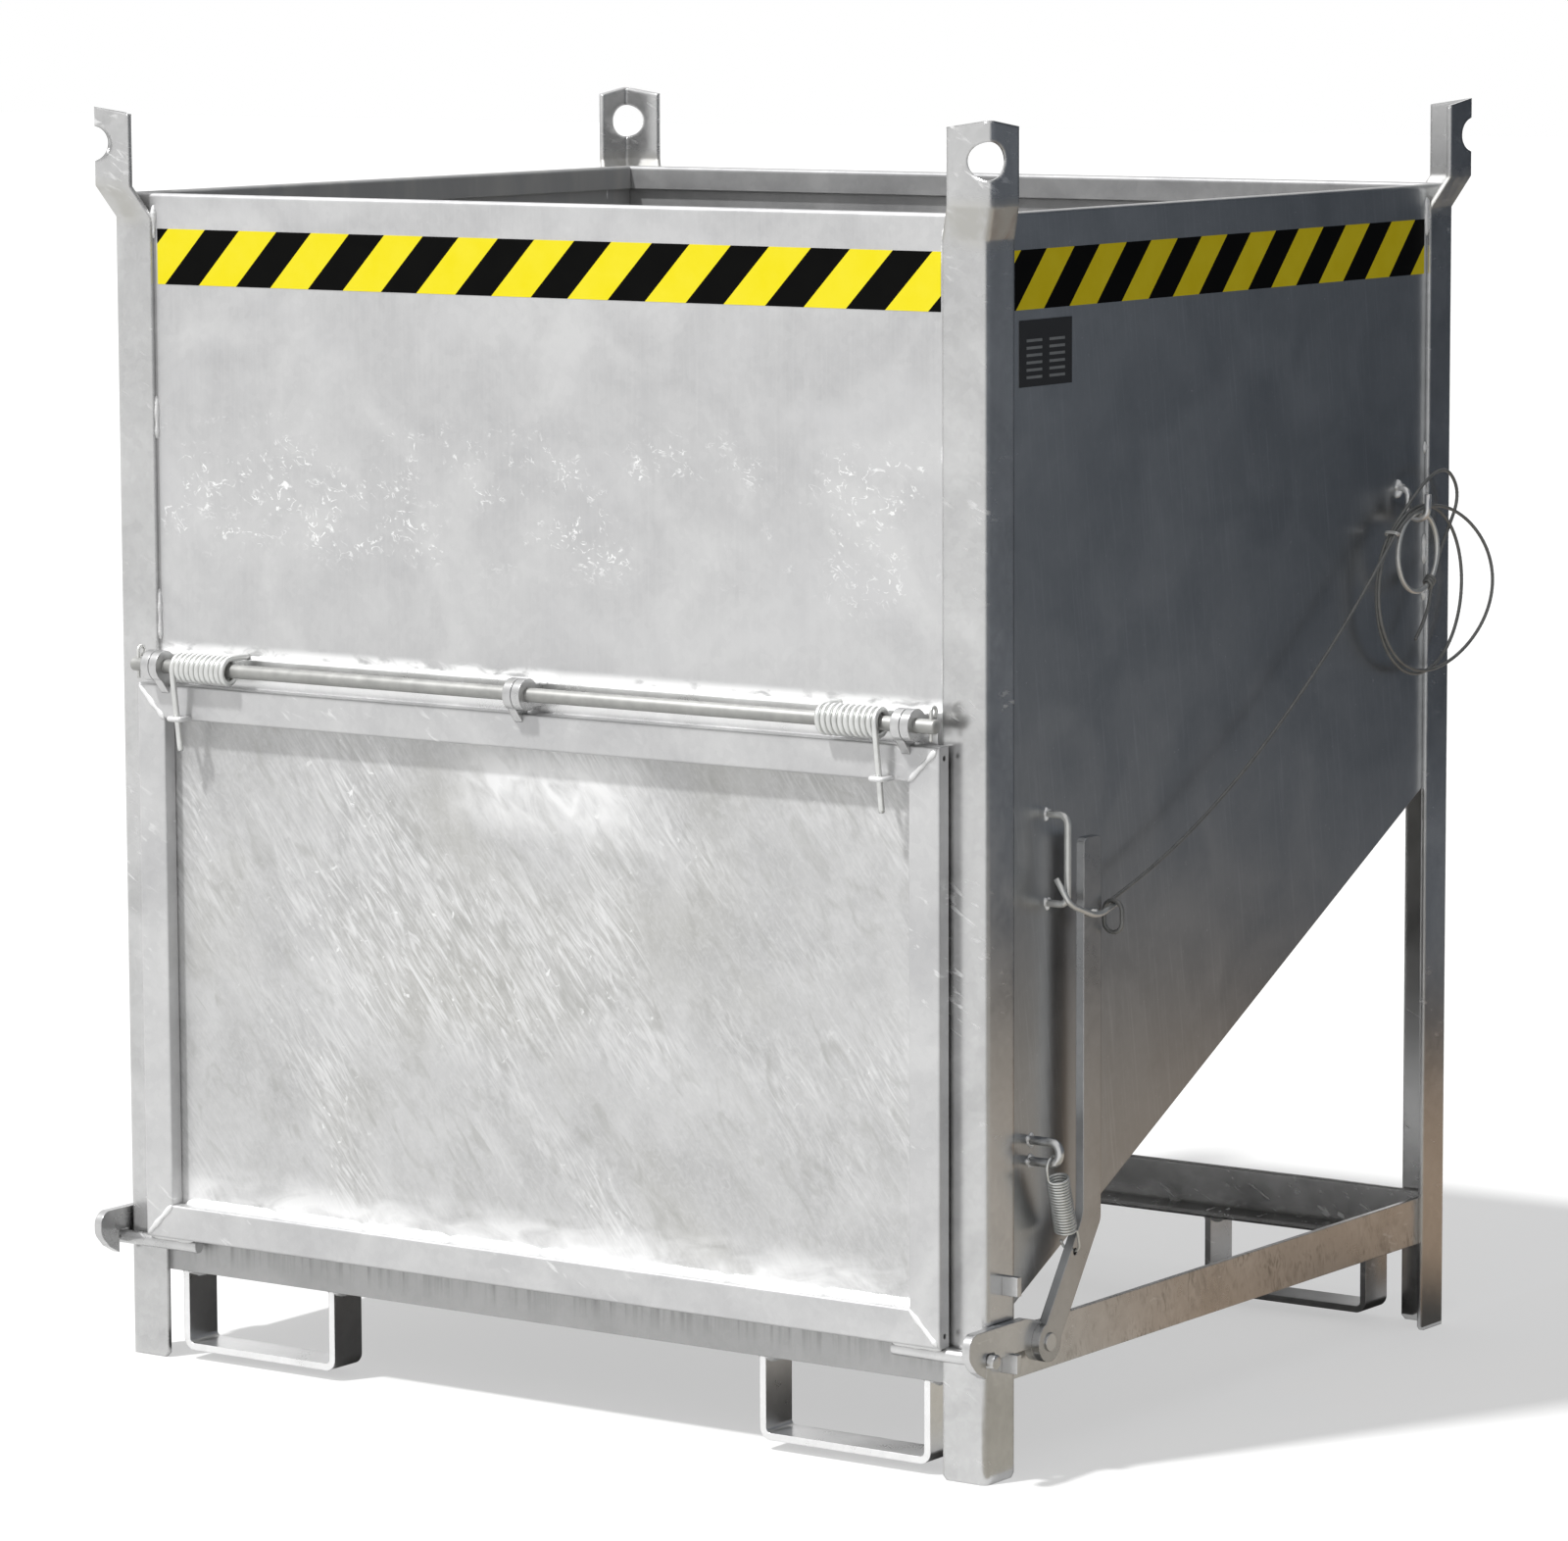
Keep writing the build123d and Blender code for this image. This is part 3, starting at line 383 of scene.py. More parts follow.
def spline_line(route, step):
    """Points read from a smooth spline whose control points are the route, a step apart along it."""
    curve = bpy.data.curves.new("route", "CURVE")
    curve.dimensions = "3D"
    curve.resolution_u = 12
    spline = curve.splines.new("NURBS")
    spline.points.add(len(route) - 1)
    for point, place in zip(spline.points, route):
        point.co = (*place, 1.0)
    spline.order_u = 3
    spline.use_endpoint_u = True
    holder = bpy.data.objects.new("route", curve)
    mesh = bpy.data.meshes.new_from_object(holder)
    points = np.empty(len(mesh.vertices) * 3)
    mesh.vertices.foreach_get("co", points)
    points = points.reshape(-1, 3)
    bpy.data.objects.remove(holder)
    bpy.data.curves.remove(curve)
    bpy.data.meshes.remove(mesh)
    run = np.concatenate([[0], np.cumsum(np.linalg.norm(np.diff(points, axis=0), axis=1))])
    even = np.linspace(0, run[-1], max(2, round(run[-1] / step)))
    return np.stack([np.interp(even, run, points[:, k]) for k in range(3)], axis=1)


# Materials


def colour(code):
    """The linear colour of an sRGB hex value."""
    parts = [int(code[i:i + 2], 16) / 255 for i in (1, 3, 5)]
    linear = [c / 12.92 if c <= 0.04045 else ((c + 0.055) / 1.055) ** 2.4 for c in parts]
    return (*linear, 1.0)


def connect(tree, node, inputs):
    """Gives a node's inputs, by name or number, a value, an output, or another node's output in use."""
    for key, value in inputs.items():
        if isinstance(value, bpy.types.Node):
            value = next(output for output in value.outputs if output.enabled)
        if isinstance(value, bpy.types.NodeSocket):
            tree.links.new(value, node.inputs[key])
        else:
            node.inputs[key].default_value = value


def add(tree, kind, inputs=None, **settings):
    """Adds a shader node of a kind with its settings and its inputs."""
    node = tree.nodes.new("ShaderNode" + kind)
    for name, value in settings.items():
        setattr(node, name, value)
    connect(tree, node, inputs or {})
    return node


def overlap(tree, *masks):
    """The product of several masks, which is one only where all of them are."""
    shared = masks[0]
    for mask in masks[1:]:
        shared = add(tree, "Math", {0: shared, 1: mask}, operation="MULTIPLY")
    return shared


def within(tree, value, low, high, soft):
    """A mask that is one where a value lies between two limits and fades out over a soft width."""
    sides = []
    for start, end, first, last in ((low - soft, low, 0.0, 1.0), (high, high + soft, 1.0, 0.0)):
        limits = {"Value": value, "From Min": start, "From Max": end, "To Min": first, "To Max": last}
        sides.append(add(tree, "MapRange", limits, interpolation_type="SMOOTHSTEP"))
    return overlap(tree, *sides)


def new_material(name):
    """A material and its nodes, of which there are none yet."""
    material = bpy.data.materials.new(name)
    material.use_nodes = True
    material.node_tree.nodes.clear()
    return material, material.node_tree


class Finish:
    """A surface in the making: its nodes, its shader, the place on it in metres and the marks laid over it."""

    def __init__(self, name):
        self.material, self.tree = new_material(name)
        self.shader = add(self.tree, "BsdfPrincipled")
        add(self.tree, "OutputMaterial", {"Surface": self.shader})
        self.spot = add(self.tree, "TexCoord").outputs["Object"]
        self.axes = add(self.tree, "SeparateXYZ", {"Vector": self.spot}).outputs

    def give(self, inputs):
        """Sets or links the shader's inputs."""
        connect(self.tree, self.shader, inputs)

    def noise(self, size, low=0.0, high=1.0, swirl=0.5, turn=(0, 0, 0)):
        """Blotches of a size in metres along three turned axes, bent by a swirl and cut between two levels."""
        stretch = {"Vector": self.spot, "Rotation": turn, "Scale": size}
        place = add(self.tree, "Mapping", stretch, vector_type="TEXTURE")
        grain = {"Vector": place, "Scale": 1.0, "Detail": 4.0, "Distortion": swirl}
        pattern = add(self.tree, "TexNoise", grain)
        return add(self.tree, "MapRange", {"Value": pattern, "From Min": low, "From Max": high})

    def span(self, axis, low, high, soft):
        """A mask between two places along an axis."""
        return within(self.tree, self.axes[axis], low, high, soft)

    def mark(self, code, roughness, *masks):
        """Lays marks of another colour and roughness over the finish where all the masks are one."""
        mask = overlap(self.tree, *masks)
        under, dull = [self.shader.inputs[key].links[0].from_socket for key in ("Base Color", "Roughness")]
        over = add(self.tree, "Mix", {0: mask, 6: under, 7: colour(code)}, data_type="RGBA")
        rough = add(self.tree, "Mix", {0: mask, 2: dull, 3: roughness})
        self.give({"Base Color": over, "Roughness": rough})


def zinc(name, dark, light, metallic, rough_low, rough_high, relief=0.05, fold=0.0015):
    """Hot-dip galvanised steel: zinc crystals of about 8 mm, cloudy patches of about 110 mm and a grain of
    about 1.5 mm, all faint, on a metal that is partly dull. Edges catch the light over the width of a fold."""
    finish = Finish(name)
    tree = finish.tree
    spot = finish.spot
    patch = {"Vector": spot, "Scale": 1 / (110 * MM), "Detail": 6.0, "Distortion": 0.8}
    crystals = add(tree, "TexVoronoi", {"Vector": spot, "Scale": 1 / (8 * MM)})
    clouds = add(tree, "TexNoise", patch)
    grain = add(tree, "TexNoise", {"Vector": spot, "Scale": 1 / (1.5 * MM), "Detail": 2.0})
    cell = add(tree, "SeparateColor", {"Color": crystals.outputs["Color"]})
    speckle = add(tree, "Mix", {0: 0.6, 2: cell, 3: grain})
    tone = add(tree, "Mix", {0: 0.8, 2: speckle, 3: clouds})
    level = add(tree, "MapRange", {"Value": tone, "From Min": 0.32, "From Max": 0.68})
    skin = add(tree, "Mix", {0: level, 6: colour(dark), 7: colour(light)}, data_type="RGBA")
    rough = add(tree, "MapRange", {"Value": level, "To Min": rough_low, "To Max": rough_high})
    edge = add(tree, "Bevel", {"Radius": fold}, samples=4)
    bump = add(tree, "Bump", {"Height": tone, "Normal": edge, "Strength": relief, "Distance": 0.002})
    finish.give({"Base Color": skin, "Roughness": rough, "Normal": bump, "Metallic": metallic})
    return finish


def front_sheet_finish():
    """Galvanised sheet in front: brushed faintly upright, with flecks of white dross in a band across it and
    at its right end, and a white line where the hinge bar is welded on, partly zinc smear and partly painted
    highlight of the sun's glare."""
    sheet = zinc("galvanised_front_sheet", "#BABABB", "#CFCFCF", 0.64, 0.34, 0.48)
    brushed = sheet.noise((0.0035, 0.05, 0.09), 0.45, 0.8)
    sheet.mark("#CFCFCF", 0.5, brushed, 0.3)
    pale = sheet.noise((0.2, 0.2, 0.14), 0.5, 0.75)
    sheet.mark("#CDCDCE", 0.5, pale, 0.6)
    lines = sheet.noise((0.022, 0.05, 0.014), swirl=1.2, turn=(0, 0.4, 0))
    curls = within(sheet.tree, lines, 0.535, 0.56, 0.02)
    breaks = sheet.noise((0.011, 0.011, 0.009), 0.46, 0.56)
    patches = sheet.noise((0.04, 0.04, 0.03), 0.44, 0.56)
    fields = sheet.noise((0.12, 0.2, 0.1), 0.42, 0.52)
    band = sheet.span("Z", 0.98, 1.08, 0.05)
    sheet.mark("#F4F4F4", 0.5, curls, breaks, patches, fields, band)
    loose = sheet.noise((0.03, 0.04, 0.03), 0.42, 0.6)
    right_end = sheet.span("X", 0.43, 0.45, 0.07)
    right_height = sheet.span("Z", 0.97, 1.01, 0.07)
    sheet.mark("#F4F4F4", 0.5, curls, breaks, right_end, right_height, loose)
    # painted highlight: the sun's glare along the hinge bar's weld, with some zinc smear
    smear = sheet.noise((0.03, 0.03, 0.014), 0.36, 0.5)
    sheet.mark("#FAFAFA", 0.5, smear, sheet.span("Z", 0.82, 0.838, 0.01))
    return sheet.material


def flap_sheet_finish():
    """Galvanised sheet in the flap: feathery zinc streaks run down to the right in clouds, with warm dull
    patches, a painted patch of light below the top tube's shadow and a painted reflection of the sunlit
    bottom tube along the foot."""
    sheet = zinc("galvanised_flap_sheet", "#B5B5B5", "#CBCBCB", 0.56, 0.34, 0.48)
    slant = (0, math.radians(52), 0)
    warm = sheet.noise((0.3, 0.3, 0.2), 0.5, 0.75, turn=slant)
    sheet.mark("#B2B1AB", 0.42, warm, 0.6)
    sponge = sheet.noise((0.012, 0.012, 0.008), 0.46, 0.68, 1.5, slant)
    sheet.mark("#D2D2D2", 0.5, sponge, 0.4)
    clouds = sheet.noise((0.34, 0.3, 0.15), 0.42, 0.62, turn=slant)
    feathers = sheet.noise((0.07, 0.06, 0.010), 0.42, 0.68, 2.4, slant)
    sheet.mark("#E3E3E3", 0.5, clouds, feathers, 0.95)
    fine = sheet.noise((0.024, 0.024, 0.003), 0.5, 0.7, 1.0, slant)
    sheet.mark("#DEDEDE", 0.5, fine, 0.2)
    smears = sheet.noise((0.06, 0.06, 0.02), 0.54, 0.72, 1.2, slant)
    sheet.mark("#A8A8A5", 0.4, smears, 0.5)
    # painted light: a pale glow below the top tube's shadow
    ragged = sheet.noise((0.06, 0.06, 0.03), 0.25, 0.6, 1.0, slant)
    sheet.mark("#F0F0F0", 0.5, sheet.span("X", -0.03, 0.08, 0.12), sheet.span("Z", 0.69, 0.72, 0.05), ragged)
    # painted reflection: the sunlit bottom tube mirrored on the foot of the sheet
    foot_glow_noise = sheet.noise((0.09, 0.09, 0.03), 0.32, 0.62, 1.0)
    sheet.mark("#F4F4F4", 0.5, sheet.span("Z", 0.17, 0.196, 0.05), foot_glow_noise, 0.9)
    flecks = sheet.noise((0.012, 0.012, 0.012), 0.66, 0.72)
    sheet.mark("#F4F4F4", 0.5, flecks, clouds, 0.8)
    return sheet.material


def side_sheet_finish():
    """Galvanised sheet at the sides: smooth zinc that mirrors more, with faint upright scratches and dust, and
    dull inside under a film of cement."""
    sheet = zinc("galvanised_side_sheet", "#A6A8AA", "#B4B6B8", 1.0, 0.28, 0.34, relief=0.0)
    scratches = sheet.noise((0.05, 0.004, 0.12), 0.55, 0.85, turn=(0.15, 0, 0))
    sheet.mark("#CDD0D3", 0.36, scratches, 0.5)
    dust = sheet.noise((0.004, 0.004, 0.004), 0.7, 0.76)
    sheet.mark("#E0E2E4", 0.5, dust, 0.6)
    inside = sheet.span("X", -0.5925, 0.5925, 0.0005)
    sheet.mark("#A6A6A6", 0.5, inside, 0.85)
    film = sheet.noise((0.05, 0.05, 0.2), 0.45, 0.7, 1.0)
    sheet.mark("#BDBCB8", 0.65, film, inside, 0.6)
    metal = add(sheet.tree, "MapRange", {"Value": inside, "To Min": 1.0, "To Max": 0.4})
    sheet.give({"Metallic": metal})
    return sheet.material


def chute_finish():
    """Galvanised sheet that cement slides down: dull, with a dusty film in long smears."""
    sheet = zinc("galvanised_chute", "#8A8A88", "#A2A2A0", 0.3, 0.55, 0.7)
    film = sheet.noise((0.03, 0.2, 0.2), 0.42, 0.7, 1.0)
    sheet.mark("#B4B2AD", 0.75, film, 0.7)
    return sheet.material


def sill_finish():
    """Galvanised bar under the flap: dark runs of cement water down from its top edge."""
    bar = zinc("galvanised_sill", "#A6A6A6", "#BABABA", 0.66, 0.34, 0.5)
    runs = bar.noise((0.008, 0.05, 0.16), 0.46, 0.7)
    reach = add(bar.tree, "MapRange", {"Value": bar.axes["Z"], "From Min": 0.112, "From Max": 0.155})
    bar.mark("#70706E", 0.6, runs, reach, 0.7)
    return bar.material


def bar_finish(name, dark, light, rough=0.26, fold=0.0015, metallic=0.95, stain=0.0):
    """Galvanised bars and tubes: a thicker coat with pale scuffs, duller where the post tops are bent outward,
    with a slightly darker warm tone there as painted shade of the bend, and stained in short upright runs
    where a share is given."""
    bar = zinc(name, dark, light, metallic, rough, rough + 0.08, 0.03, fold)
    blotches = bar.noise((0.03, 0.03, 0.03), 0.25, 0.6)
    # duller at the post tops' bend; its darker warm tone is painted shade
    bar.mark("#B8B7B3", 0.6, bar.span("Z", 1.336, 1.364, 0.02), blotches, 0.9)
    runs = bar.noise((0.05, 0.01, 0.022), 0.46, 0.72, 1.5, (0.2, 0, 0))
    soiled = bar.noise((0.09, 0.09, 0.05), 0.4, 0.66, 1.0)
    bar.mark("#6E665B", 0.42, runs, soiled, stain)
    scuffs = bar.noise((0.03, 0.03, 0.008), 0.62, 0.7, turn=(0, 0.5, 0.3))
    patches = bar.noise((0.15, 0.15, 0.15), 0.5, 0.65)
    bar.mark("#E6E6E6", 0.5, scuffs, patches, 0.8)
    return bar.material


def soiled_finish(name, dark, light, low, high, metallic, patch=15, detail=4.0):
    """Drawn wire or lacquer: one material between a dark and a light colour and two roughnesses, soiled in
    patches of a size in millimetres."""
    finish = Finish(name)
    tree = finish.tree
    soil = add(tree, "TexNoise", {"Vector": finish.spot, "Scale": 1 / (patch * MM), "Detail": detail})
    skin = add(tree, "Mix", {0: soil, 6: colour(dark), 7: colour(light)}, data_type="RGBA")
    rough = add(tree, "MapRange", {"Value": soil, "To Min": low, "To Max": high})
    finish.give({"Base Color": skin, "Roughness": rough, "Metallic": metallic})
    return finish.material


def hazard_tape(name, along, start, deep, pale):
    """Printed vinyl tape: slanted bands of deep to pale yellow and of black, a little scuffed."""
    tape = Finish(name)
    tree = tape.tree
    pitch = tape_pitch * MM
    lean = add(tree, "Math", {0: tape.axes["Z"], 1: tape_slope}, operation="MULTIPLY")
    slant = add(tree, "Math", {0: tape.axes[along], 1: lean}, operation="SUBTRACT")
    count = {0: slant, 1: 1 / pitch, 2: -start * MM / pitch}
    bands = add(tree, "Math", count, operation="MULTIPLY_ADD")
    part = add(tree, "Math", {0: bands}, operation="FRACT")
    black = add(tree, "Math", {0: part, 1: tape_yellow_share}, operation="GREATER_THAN")
    faded = add(tree, "TexNoise", {"Vector": tape.spot, "Scale": 1 / (30 * MM), "Detail": 5.0})
    inks = []
    for dark, light in ((deep, pale), ("#050505", "#0D0D0C")):
        inks.append(add(tree, "Mix", {0: faded, 6: colour(dark), 7: colour(light)}, data_type="RGBA"))
    printed = add(tree, "Mix", {0: black, 6: inks[0], 7: inks[1]}, data_type="RGBA")
    rough = add(tree, "MapRange", {"Value": faded, "To Min": 0.4, "To Max": 0.6})
    tape.give({"Base Color": printed, "Roughness": rough, "Specular IOR Level": 0.04})
    return tape.material


# Bars under zinc: smoother, with wide folds, on the posts, dull on tubes; a pale copy is painted highlight on
# the front fork loops and the hinge bar, and a darker copy painted shade on the rear fork loops and the
# release lever
bar_steel = bar_finish("galvanised_bar_steel", "#B5B5B5", "#CFCFCF")
post_steel = bar_finish("galvanised_folded_steel", "#B2B2B2", "#CACACA", rough=0.19, fold=0.005)
painted_highlight_steel = bar_finish("galvanised_flat_bar_painted_highlight", "#DCDCDC", "#F0F0F0")
tube_steel = bar_finish("galvanised_tube", "#BABABB", "#CFCFCF", rough=0.36, metallic=0.62)
painted_shade_steel = bar_finish("galvanised_bar_painted_shade", "#A4A4A4", "#BABABA")
stained_steel = bar_finish("galvanised_stained_bar", "#B8B8B8", "#D2D2D2", stain=0.7)

# Sheets under zinc, each with the marks of its place
front_steel = front_sheet_finish()
sheet_steel = zinc("galvanised_sheet", "#A0A0A1", "#B6B6B6", 0.64, 0.34, 0.48).material
flap_steel = flap_sheet_finish()
side_steel = side_sheet_finish()
chute_steel = chute_finish()
sill_steel = sill_finish()

# Welds under zinc: lumpy and a little duller than the sheet; near-white, partly bright zinc and partly painted
# highlight of the sun's glare on them
weld_steel = zinc("galvanised_weld", "#DCDCDC", "#F8F8F8", 0.45, 0.4, 0.6).material

# Drawn bar and wire: bright where it is plated, grey on the rod and darker and duller on the rope
bright_steel = soiled_finish("zinc_plated_steel", "#C0C0BE", "#E6E6E3", 0.28, 0.44, 0.6)
rod_steel = soiled_finish("drawn_bar_steel", "#8C8C8A", "#B6B6B3", 0.42, 0.58, 0.6)
spring_steel = soiled_finish("zinc_plated_spring_wire", "#C2C3C1", "#E8E9E7", 0.28, 0.42, 0.8)
rope_steel = soiled_finish("laid_steel_wire", "#6C6C6B", "#969694", 0.42, 0.58, 0.4)

# Tape in full sun in front and in shade at the side
tape_front = hazard_tape("printed_vinyl_front", "X", tape_front_start, "#FAE818", "#FFF040")
tape_side = hazard_tape("printed_vinyl_side", "Y", tape_side_start, "#E6CC12", "#F2DC32")

# Lacquer on a thin metal plate, a little dusty
plate_black = soiled_finish("black_lacquer", "#17181A", "#26272A", 0.35, 0.6, 0.0, patch=10, detail=5.0)
plate_pale = soiled_finish("pale_lacquer", "#747678", "#8C8E8E", 0.35, 0.6, 0.0, patch=10, detail=5.0)


# Rope


def laid_rope(line, first_step):
    """Six strands laid round each other: the radius at angle t is r(1.08 - 0.16 |sin 3(t - phase)|), and the
    phase turns once in each lay along the rope, counted from its first step so that stretches match."""
    sides = 30
    turn = np.arange(sides) * 2 * math.pi / sides
    phase = 2 * math.pi * (first_step + np.arange(len(line)))[:, None] * rope_step / rope_lay
    radius = rope / 2 * (1.08 - 0.16 * np.abs(np.sin(3 * (turn[None, :] - phase))))
    return tube(line, radius, sides)


def loop_points(loop, turns):
    """Places on a loose loop, clockwise from the tie in the side view: an oval that leans outward as it goes
    back, each turn one strand nearer to the panel."""
    half_across, half_up, fan = rope_loops[loop]
    from_tie = math.radians(tie_angle)
    out = half_across * (np.cos(from_tie - turns) - math.cos(from_tie))
    up = half_up * (np.sin(from_tie - turns) - math.sin(from_tie))
    layer = strand_step * (loop + turns / (2 * math.pi))
    spread = fan * (out / (2 * half_across)) ** 3
    return np.asarray(rope_route[-1]) + np.stack([spread - layer, out, up], axis=-1)


def tie_shape():
    """A thin wire twice round the three strands where the loops are gathered."""
    middle = np.asarray(rope_route[-1]) - (strand_step, 0, 0)
    turn = np.linspace(0, 4 * math.pi, 60)
    deep = rope / 2 + tie_wire / 2 + tie_gap
    wide = strand_step + deep
    out = wide * np.sign(np.cos(turn)) * np.abs(np.cos(turn)) ** 0.6
    over = deep * np.sign(np.sin(turn)) * np.abs(np.sin(turn)) ** 0.6
    climb = tie_wire * 1.1 * (turn / (2 * math.pi) - 1)
    line = middle + out[:, None] * (1, 0, 0)
    line = line + over[:, None] * unit([0, -1, 1]) + climb[:, None] * unit([0, 1, 1])
    return tube(line, tie_wire / 2, sides=8)


def knot_shape():
    """The rope's hitch on the ring: three turns round the ring's wire, low on its rear side."""
    turn = np.linspace(0, 6 * math.pi, 90)
    place = np.radians(knot_angle) + (turn / (2 * math.pi) - 1.5) * (rope + knot_gap) / ring_radius
    reach = ring_wire / 2 + rope / 2 + knot_gap / 2
    radius = ring_radius + reach * np.cos(turn)
    line = np.stack([reach * np.sin(turn), radius * np.cos(place), radius * np.sin(place)], axis=1)
    return tube(line + (ring_x, ring_hook_y, ring_z), rope / 2, sides=10)


def ring_shape():
    """The pull ring, flat in the side view."""
    turn = np.arange(72) * math.pi / 36
    line = np.stack([0 * turn, ring_radius * np.cos(turn), ring_radius * np.sin(turn)], axis=1)
    return tube(line + (ring_x, ring_hook_y, ring_z), ring_wire / 2, closed=True)


def loop_line():
    """The rope from the tie round its loops, sixteen places to a turn, and on to its tail."""
    turns = np.arange(1, 17) * math.pi / 8
    tie = np.asarray(rope_route[-1])
    arriving = unit(tie - np.asarray(rope_route[-2])) * rope
    loops = [loop_points(loop, turns) for loop in range(len(rope_loops))]
    return spline_line(np.vstack([tie, tie + arriving] + loops + [rope_tail]).tolist(), rope_step)


def build_rope():
    """The rope in three stretches: its end on the lock hook, the free stretch, and the loops on the ring."""
    line = spline_line(rope_route, rope_step)
    split = round(rope_end_length / rope_step)
    end_line = line[:split + 1]
    free_line = line[split:]
    round_line = loop_line()
    end = make_piece("rope_end", *laid_rope(end_line, 0), rope_steel, "wire_rope")
    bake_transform(end)
    free = make_piece("rope_stretch_laid", *laid_rope(free_line, split), rope_steel, "wire_rope")
    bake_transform(free)
    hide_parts("rope_stretch")
    loops = make_piece("rope_loops_laid", *laid_rope(round_line, 0), rope_steel, "wire_rope", "frame")
    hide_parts("rope_loops")
    ring = make_piece("pull_ring_round", *ring_shape(), bright_steel, "bright_steel", "frame")
    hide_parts("pull_ring")
    tie_piece = make_piece("rope_tie_wire", *tie_shape(), bright_steel, "wire_rope", "frame")
    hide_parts("rope_tie")
    knot = make_piece("rope_knot", *knot_shape(), rope_steel, "wire_rope", "frame")


# Springs


def torsion_line():
    """The right torsion spring: a leg on the hinge bar, ten turns round the rod, and a leg down the flap.
    Turn t is at (x0 + pitch t / 2 pi, y - r sin t, z + r cos t)."""
    total = 2 * math.pi * torsion_turns + math.radians(90 + torsion_leg_tilt)
    turn = np.linspace(0, total, 26 * torsion_turns)
    x = torsion_inner_end + torsion_pitch * turn / (2 * math.pi)
    y = hinge_y - torsion_radius * np.sin(turn)
    z = hinge_z + torsion_radius * np.cos(turn)
    coil = np.stack([x, y, z], axis=1)
    leg_way = np.array([0, -math.cos(total), -math.sin(total)])
    body_leg = coil[0] + np.linspace(torsion_body_leg, 0, 8)[:-1, None] * (0, 1, 0)
    flap_leg = coil[-1] + np.linspace(0, torsion_flap_leg, 20)[1:, None] * leg_way
    return np.vstack([body_leg, coil, flap_leg])


def build_torsion_springs():
    """Both torsion springs: the right one and its mirror image."""
    line = torsion_line()
    shape = tube(line, torsion_wire / 2, sides=12)
    for name, solid, sign in (("right", shape, 1), ("left", mirrored(shape), -1)):
        spring = make_piece(f"torsion_spring_{name}", *solid, spring_steel, "spring_steel")
        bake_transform(spring)
        if sign > 0:
            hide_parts("torsion_springs")


def tension_line():
    """The lever's spring: a hook through the lever's hole, a close coil, and a hook over the staple.
    Turn t of the coil is at foot + axis (low + rise t) + r (side cos t - back sin t)."""
    slant = math.hypot(lever_y - shaft_y, lever_bend_rise)
    ahead = (lever_width / 2 - lever_hole_inset) / slant
    hole_y = shaft_y + (lever_y - shaft_y) * lever_hole_rise - lever_bend_rise * ahead
    hole_z = shaft_z + lever_bend_rise * lever_hole_rise + (lever_y - shaft_y) * ahead
    lower = np.array([(hook_outer + lever_outer) / 2, hole_y, hole_z])
    upper = np.array([panel_x + tension_hook_reach, spring_staple["y"], spring_staple["low"]])
    axis = unit(upper - lower)
    for _ in range(12):
        side = unit(np.array([1, 0, 0]) - axis * axis[0])
        back = np.cross(axis, side)
        axis = unit(upper - lower + tension_bend * (side + back))
    foot = lower - back * tension_bend
    radius = tension_radius
    seat = radius - tension_wire / 2 - spring_staple["bar"] / 2 - tension_hook_slack
    top = (upper - foot) @ axis - seat
    low = radius + tension_lower_riser + tension_bend
    high = top - tension_bend - tension_upper_riser
    turn = np.linspace(0, 2 * math.pi * tension_turns + math.pi / 2, 24 * tension_turns)[:, None]
    climb = low + (high - low) * turn / turn[-1]
    coil = foot + axis * climb + radius * (side * np.cos(turn) - back * np.sin(turn))
    bow = np.radians(np.linspace(180, 360, tension_hook_steps))[:, None]
    lower_hook = foot + axis * radius * (1 + np.sin(bow)) + side * radius * np.cos(bow) + back * tension_bend
    riser = foot + axis * (low - tension_bend) + side * radius + back * tension_bend
    bend = np.radians(np.linspace(0, 90, 6))[:-1, None]
    lower_turn = riser + tension_bend * (axis * np.sin(bend) - back * (1 - np.cos(bend)))
    rim = foot + axis * top - side * tension_bend - back * radius
    upper_turn = rim - axis * (tension_upper_riser + tension_bend * np.cos(bend))
    upper_turn = upper_turn + side * tension_bend * (1 - np.sin(bend))
    upper_turn = np.vstack([upper_turn[1:], rim - axis * tension_upper_riser, rim])
    arch = np.radians(np.linspace(180, 0, tension_hook_steps))[1:, None]
    upper_hook = rim + back * radius * (1 + np.cos(arch)) + axis * radius * np.sin(arch)
    return np.vstack([lower_hook, lower_turn, coil, upper_turn, upper_hook])


def build_tension_spring():
    """The tension spring, one wire from its lower hook to its upper one."""
    line = tension_line()
    shape = tube(line, tension_wire / 2, sides=10)
    spring = make_piece("tension_spring_wire", *shape, spring_steel, "spring_steel")
    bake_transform(spring)
    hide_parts("tension_spring")


# Bent bars


def staple_shape(y, low, high, reach, bend, bar):
    """A round bar bent to a U, its ends on the side panel."""
    outer = panel_x + reach
    corners = [(panel_x, y, high), (outer, y, high), (outer, y, low), (panel_x, y, low)]
    return tube(bent_bar(corners, [bend, bend]), bar / 2, sides=18)


def spring_rest_shape():
    """The right staple on the flap's top tube that a spring's leg runs through."""
    left = spring_leg_x - spring_rest_span / 2
    right = spring_leg_x + spring_rest_span / 2
    places = ((left, flap_face), (left, spring_rest_front), (right, spring_rest_front), (right, flap_face))
    corners = [(x, y, spring_rest_z) for x, y in places]
    return tube(bent_bar(corners, [spring_rest_bend, spring_rest_bend]), spring_rest_bar / 2)


def split_pin_shape():
    """The right split pin: a shank through the rod and three quarters of a round eye."""
    neck = np.array([split_pin_x, hinge_y, hinge_z + split_pin_rise])
    tail = np.array([split_pin_x, hinge_y, hinge_z - split_pin_tail])
    eye = arc(neck + (0, split_eye_radius, 0), neck, (-1, 0, 0), split_eye_turn, 24)
    return tube(np.vstack([np.linspace(tail, neck, 8)[:-1], eye]), split_pin_wire / 2, sides=12)


